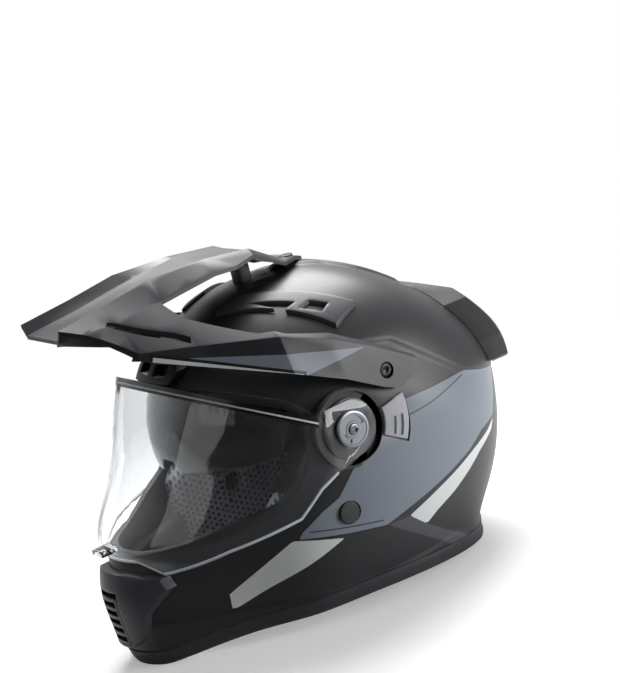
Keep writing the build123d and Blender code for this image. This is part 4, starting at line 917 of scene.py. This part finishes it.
def bead_foam(name, colour, joint):
    """Moulded foam, its beads' joints darker and a little sunk."""
    made, tree, out = new_material(name)
    where = add_node(tree, "TexCoord")
    beads = add_node(tree, "TexVoronoi", {"Scale": 1000 / bead_mm, "feature": "DISTANCE_TO_EDGE"},
                     {"Vector": where.outputs["Object"]})
    face = add_node(tree, "MapRange", {"From Min": 0.0, "From Max": 0.14},
                    {"Value": beads.outputs["Distance"]})
    tone = add_node(tree, "Mix", {"data_type": "RGBA", 6: linear(joint), 7: linear(colour)},
                    {0: face.outputs[0]})
    bump = add_node(tree, "Bump", {"Strength": 0.5, "Distance": 0.0004},
                    {"Height": face.outputs[0]})
    coat = add_node(tree, "BsdfPrincipled", {"Roughness": 0.72, "IOR": 1.55},
                    {"Base Color": tone.outputs[2], "Normal": bump.outputs[0]})
    tree.links.new(coat.outputs[0], out.inputs["Surface"])
    return made


eps = bead_foam("fused_polystyrene_beads", "#15161a", "#0c0d0f")
fitted(soft_copy("foam_liner", "impact_liner", 4.0, 3, 0.3), eps, "foam",
                 "foam_liner")
fitted(soft_copy("chin_foam", "chin_impact_liner", 2.5, 3, 0.2), eps, "foam",
                 "chin_foam")

# Comfort padding: cheek pads and crown pad of laminated foam under knitted mesh, and a neck roll
# under brushed microfibre. Each is a soft crowned form pressed against the liner.


# Spacer mesh has holes about 2 mm apart. They are drawn 4 mm apart and more, so that they show
yarn_fuzz_mm = 0.8


def knitted(name, yarn, ground, hole_mm, roughness):
    """Spacer mesh: an even net of holes over a darker foam, with a soft sheen on the yarn."""
    made, tree, out = new_material(name)
    where = add_node(tree, "TexCoord")
    # Three waves at sixty degrees, laid on the side view, make staggered rows of holes
    pitch = 2 * pi * 1000 / hole_mm
    total = None
    for way in ((0.6, 1.0, 0.0), (0.3, 0.5, 0.866), (-0.3, -0.5, 0.866)):
        run = add_node(tree, "VectorMath",
                       {"operation": "DOT_PRODUCT", 1: [c * pitch for c in way]},
                       {0: where.outputs["Object"]})
        wave = add_node(tree, "Math", {"operation": "COSINE"}, {0: run.outputs["Value"]})
        if total is None:
            total = wave
        else:
            total = add_node(tree, "Math", {"operation": "ADD"},
                             {0: total.outputs[0], 1: wave.outputs[0]})
    open_share = add_node(tree, "MapRange", {"From Min": 0.2, "From Max": 1.1},
                          {"Value": total.outputs[0]})
    fuzz = add_node(tree, "TexNoise", {"Scale": 1000 / yarn_fuzz_mm, "Detail": 3.0},
                    {"Vector": where.outputs["Object"]})
    worn = add_node(tree, "MapRange", {"To Min": 0.85, "To Max": 1.1},
                    {"Value": fuzz.outputs["Fac"]})
    tone = add_node(tree, "Mix", {"data_type": "RGBA", 6: linear(yarn), 7: linear(ground)},
                    {0: open_share.outputs[0]})
    toned = add_node(tree, "VectorMath", {"operation": "SCALE"}, {0: tone.outputs[2],
                                                                  3: worn.outputs[0]})
    height = add_node(tree, "Math", {"operation": "SUBTRACT", 0: 1.0}, {1: open_share.outputs[0]})
    bump = add_node(tree, "Bump", {"Strength": 0.6, "Distance": 0.0004},
                    {"Height": height.outputs[0]})
    coat = add_node(tree, "BsdfPrincipled", {"Roughness": roughness, "Sheen Weight": 0.35,
                                             "Sheen Roughness": 0.5},
                    {"Base Color": toned.outputs[0], "Normal": bump.outputs[0]})
    tree.links.new(coat.outputs[0], out.inputs["Surface"])
    return made


mesh_cloth = knitted("white_mesh_over_grey_foam", "#b4b6bc", "#232429", 4.6, 0.85)
dark_cloth = knitted("charcoal_mesh_cloth", "#2a2b30", "#131417", 3.6, 0.9)
brushed_cloth = knitted("brushed_charcoal_microfibre", "#232429", "#1a1b1f", 1.6, 0.95)
for word in ("left", "right"):
    pad = soft_copy("cheek_pad_" + word, "cheek_cushion_" + word, 3.0, 12, 1.3)
    fitted(pad, mesh_cloth, "pad", "cheek_pad_" + word)
fitted(soft_copy("crown_pad", "crown_cushion", 3.0, 6, 0.7), dark_cloth, "pad",
                 "crown_pad")
fitted(soft_copy("neck_roll", "neck_cushion", 3.0, 10, 0.9), brushed_cloth, "pad",
                 "neck_roll")

# Chin strap: woven polyester webbing riveted to the shell, with a steel plate at each end and a
# quick-release buckle whose lever carries a red pull tab.
# Its threads are about 0.5 mm wide, and drawn wider so that they show
thread_mm = 1.4


def webbing(name, thread, shadow):
    """Woven strap: slanting ribs, one thread wide, with painted highlight on their crests and
    painted shade between them.
    """
    made, tree, out = new_material(name)
    where = add_node(tree, "TexCoord")
    split = add_node(tree, "SeparateXYZ", {}, {0: where.outputs["Object"]})
    slant = add_node(tree, "Math", {"operation": "ADD"},
                     {0: split.outputs[0], 1: split.outputs[1]})
    slant = add_node(tree, "Math", {"operation": "ADD"}, {0: slant.outputs[0], 1: split.outputs[2]})
    wave = add_node(tree, "Math", {"operation": "MULTIPLY", 1: 2 * pi * 1000 / thread_mm},
                    {0: slant.outputs[0]})
    rib = add_node(tree, "Math", {"operation": "SINE"}, {0: wave.outputs[0]})
    lift = add_node(tree, "MapRange", {"From Min": -1.0, "From Max": 1.0},
                    {"Value": rib.outputs[0]})
    # Crests take the lit colour and grooves the shaded one: painted highlight and painted shade
    tone = add_node(tree, "Mix", {"data_type": "RGBA", 6: linear(shadow), 7: linear(thread)},
                    {0: lift.outputs[0]})
    bump = add_node(tree, "Bump", {"Strength": 0.6, "Distance": 0.0003},
                    {"Height": lift.outputs[0]})
    coat = add_node(tree, "BsdfPrincipled", {"Roughness": 0.8, "Sheen Weight": 0.3},
                    {"Base Color": tone.outputs[2], "Normal": bump.outputs[0]})
    tree.links.new(coat.outputs[0], out.inputs["Surface"])
    return made


# The two colours of each webbing are one cloth lit and shaded: painted highlight and painted shade
strap_cloth = webbing("woven_polyester_webbing", "#26272b", "#121316")
for word in ("left", "right"):
    fitted(dressed("chin_strap_" + word, "chin_webbing_" + word, 0.3), strap_cloth, "strap",
           "chin_strap_" + word)
fitted(dressed("strap_anchors", "strap_anchor_plates", 0.5), zinc_steel, "steel", "strap_anchors")
fitted(dressed("buckle_body", "quick_release_body", 0.5), acetal, "black", "buckle_body")
fitted(dressed("buckle_tongue", "toothed_tongue", 0.25), acetal, "black", "buckle_tongue")
fitted(dressed("buckle_lever", "quick_release_lever", 0.4), acetal, "black", "buckle_lever",
       body="buckle_lever")
# Its two reds are one red lit and shaded: painted highlight and painted shade
red_tape = webbing("red_woven_tape", "#d23a52", "#a51f38")
fitted(dressed("buckle_pull_tab", "red_pull_tab", 0.25), red_tape, "red", "buckle_pull_tab",
       body="buckle_lever")
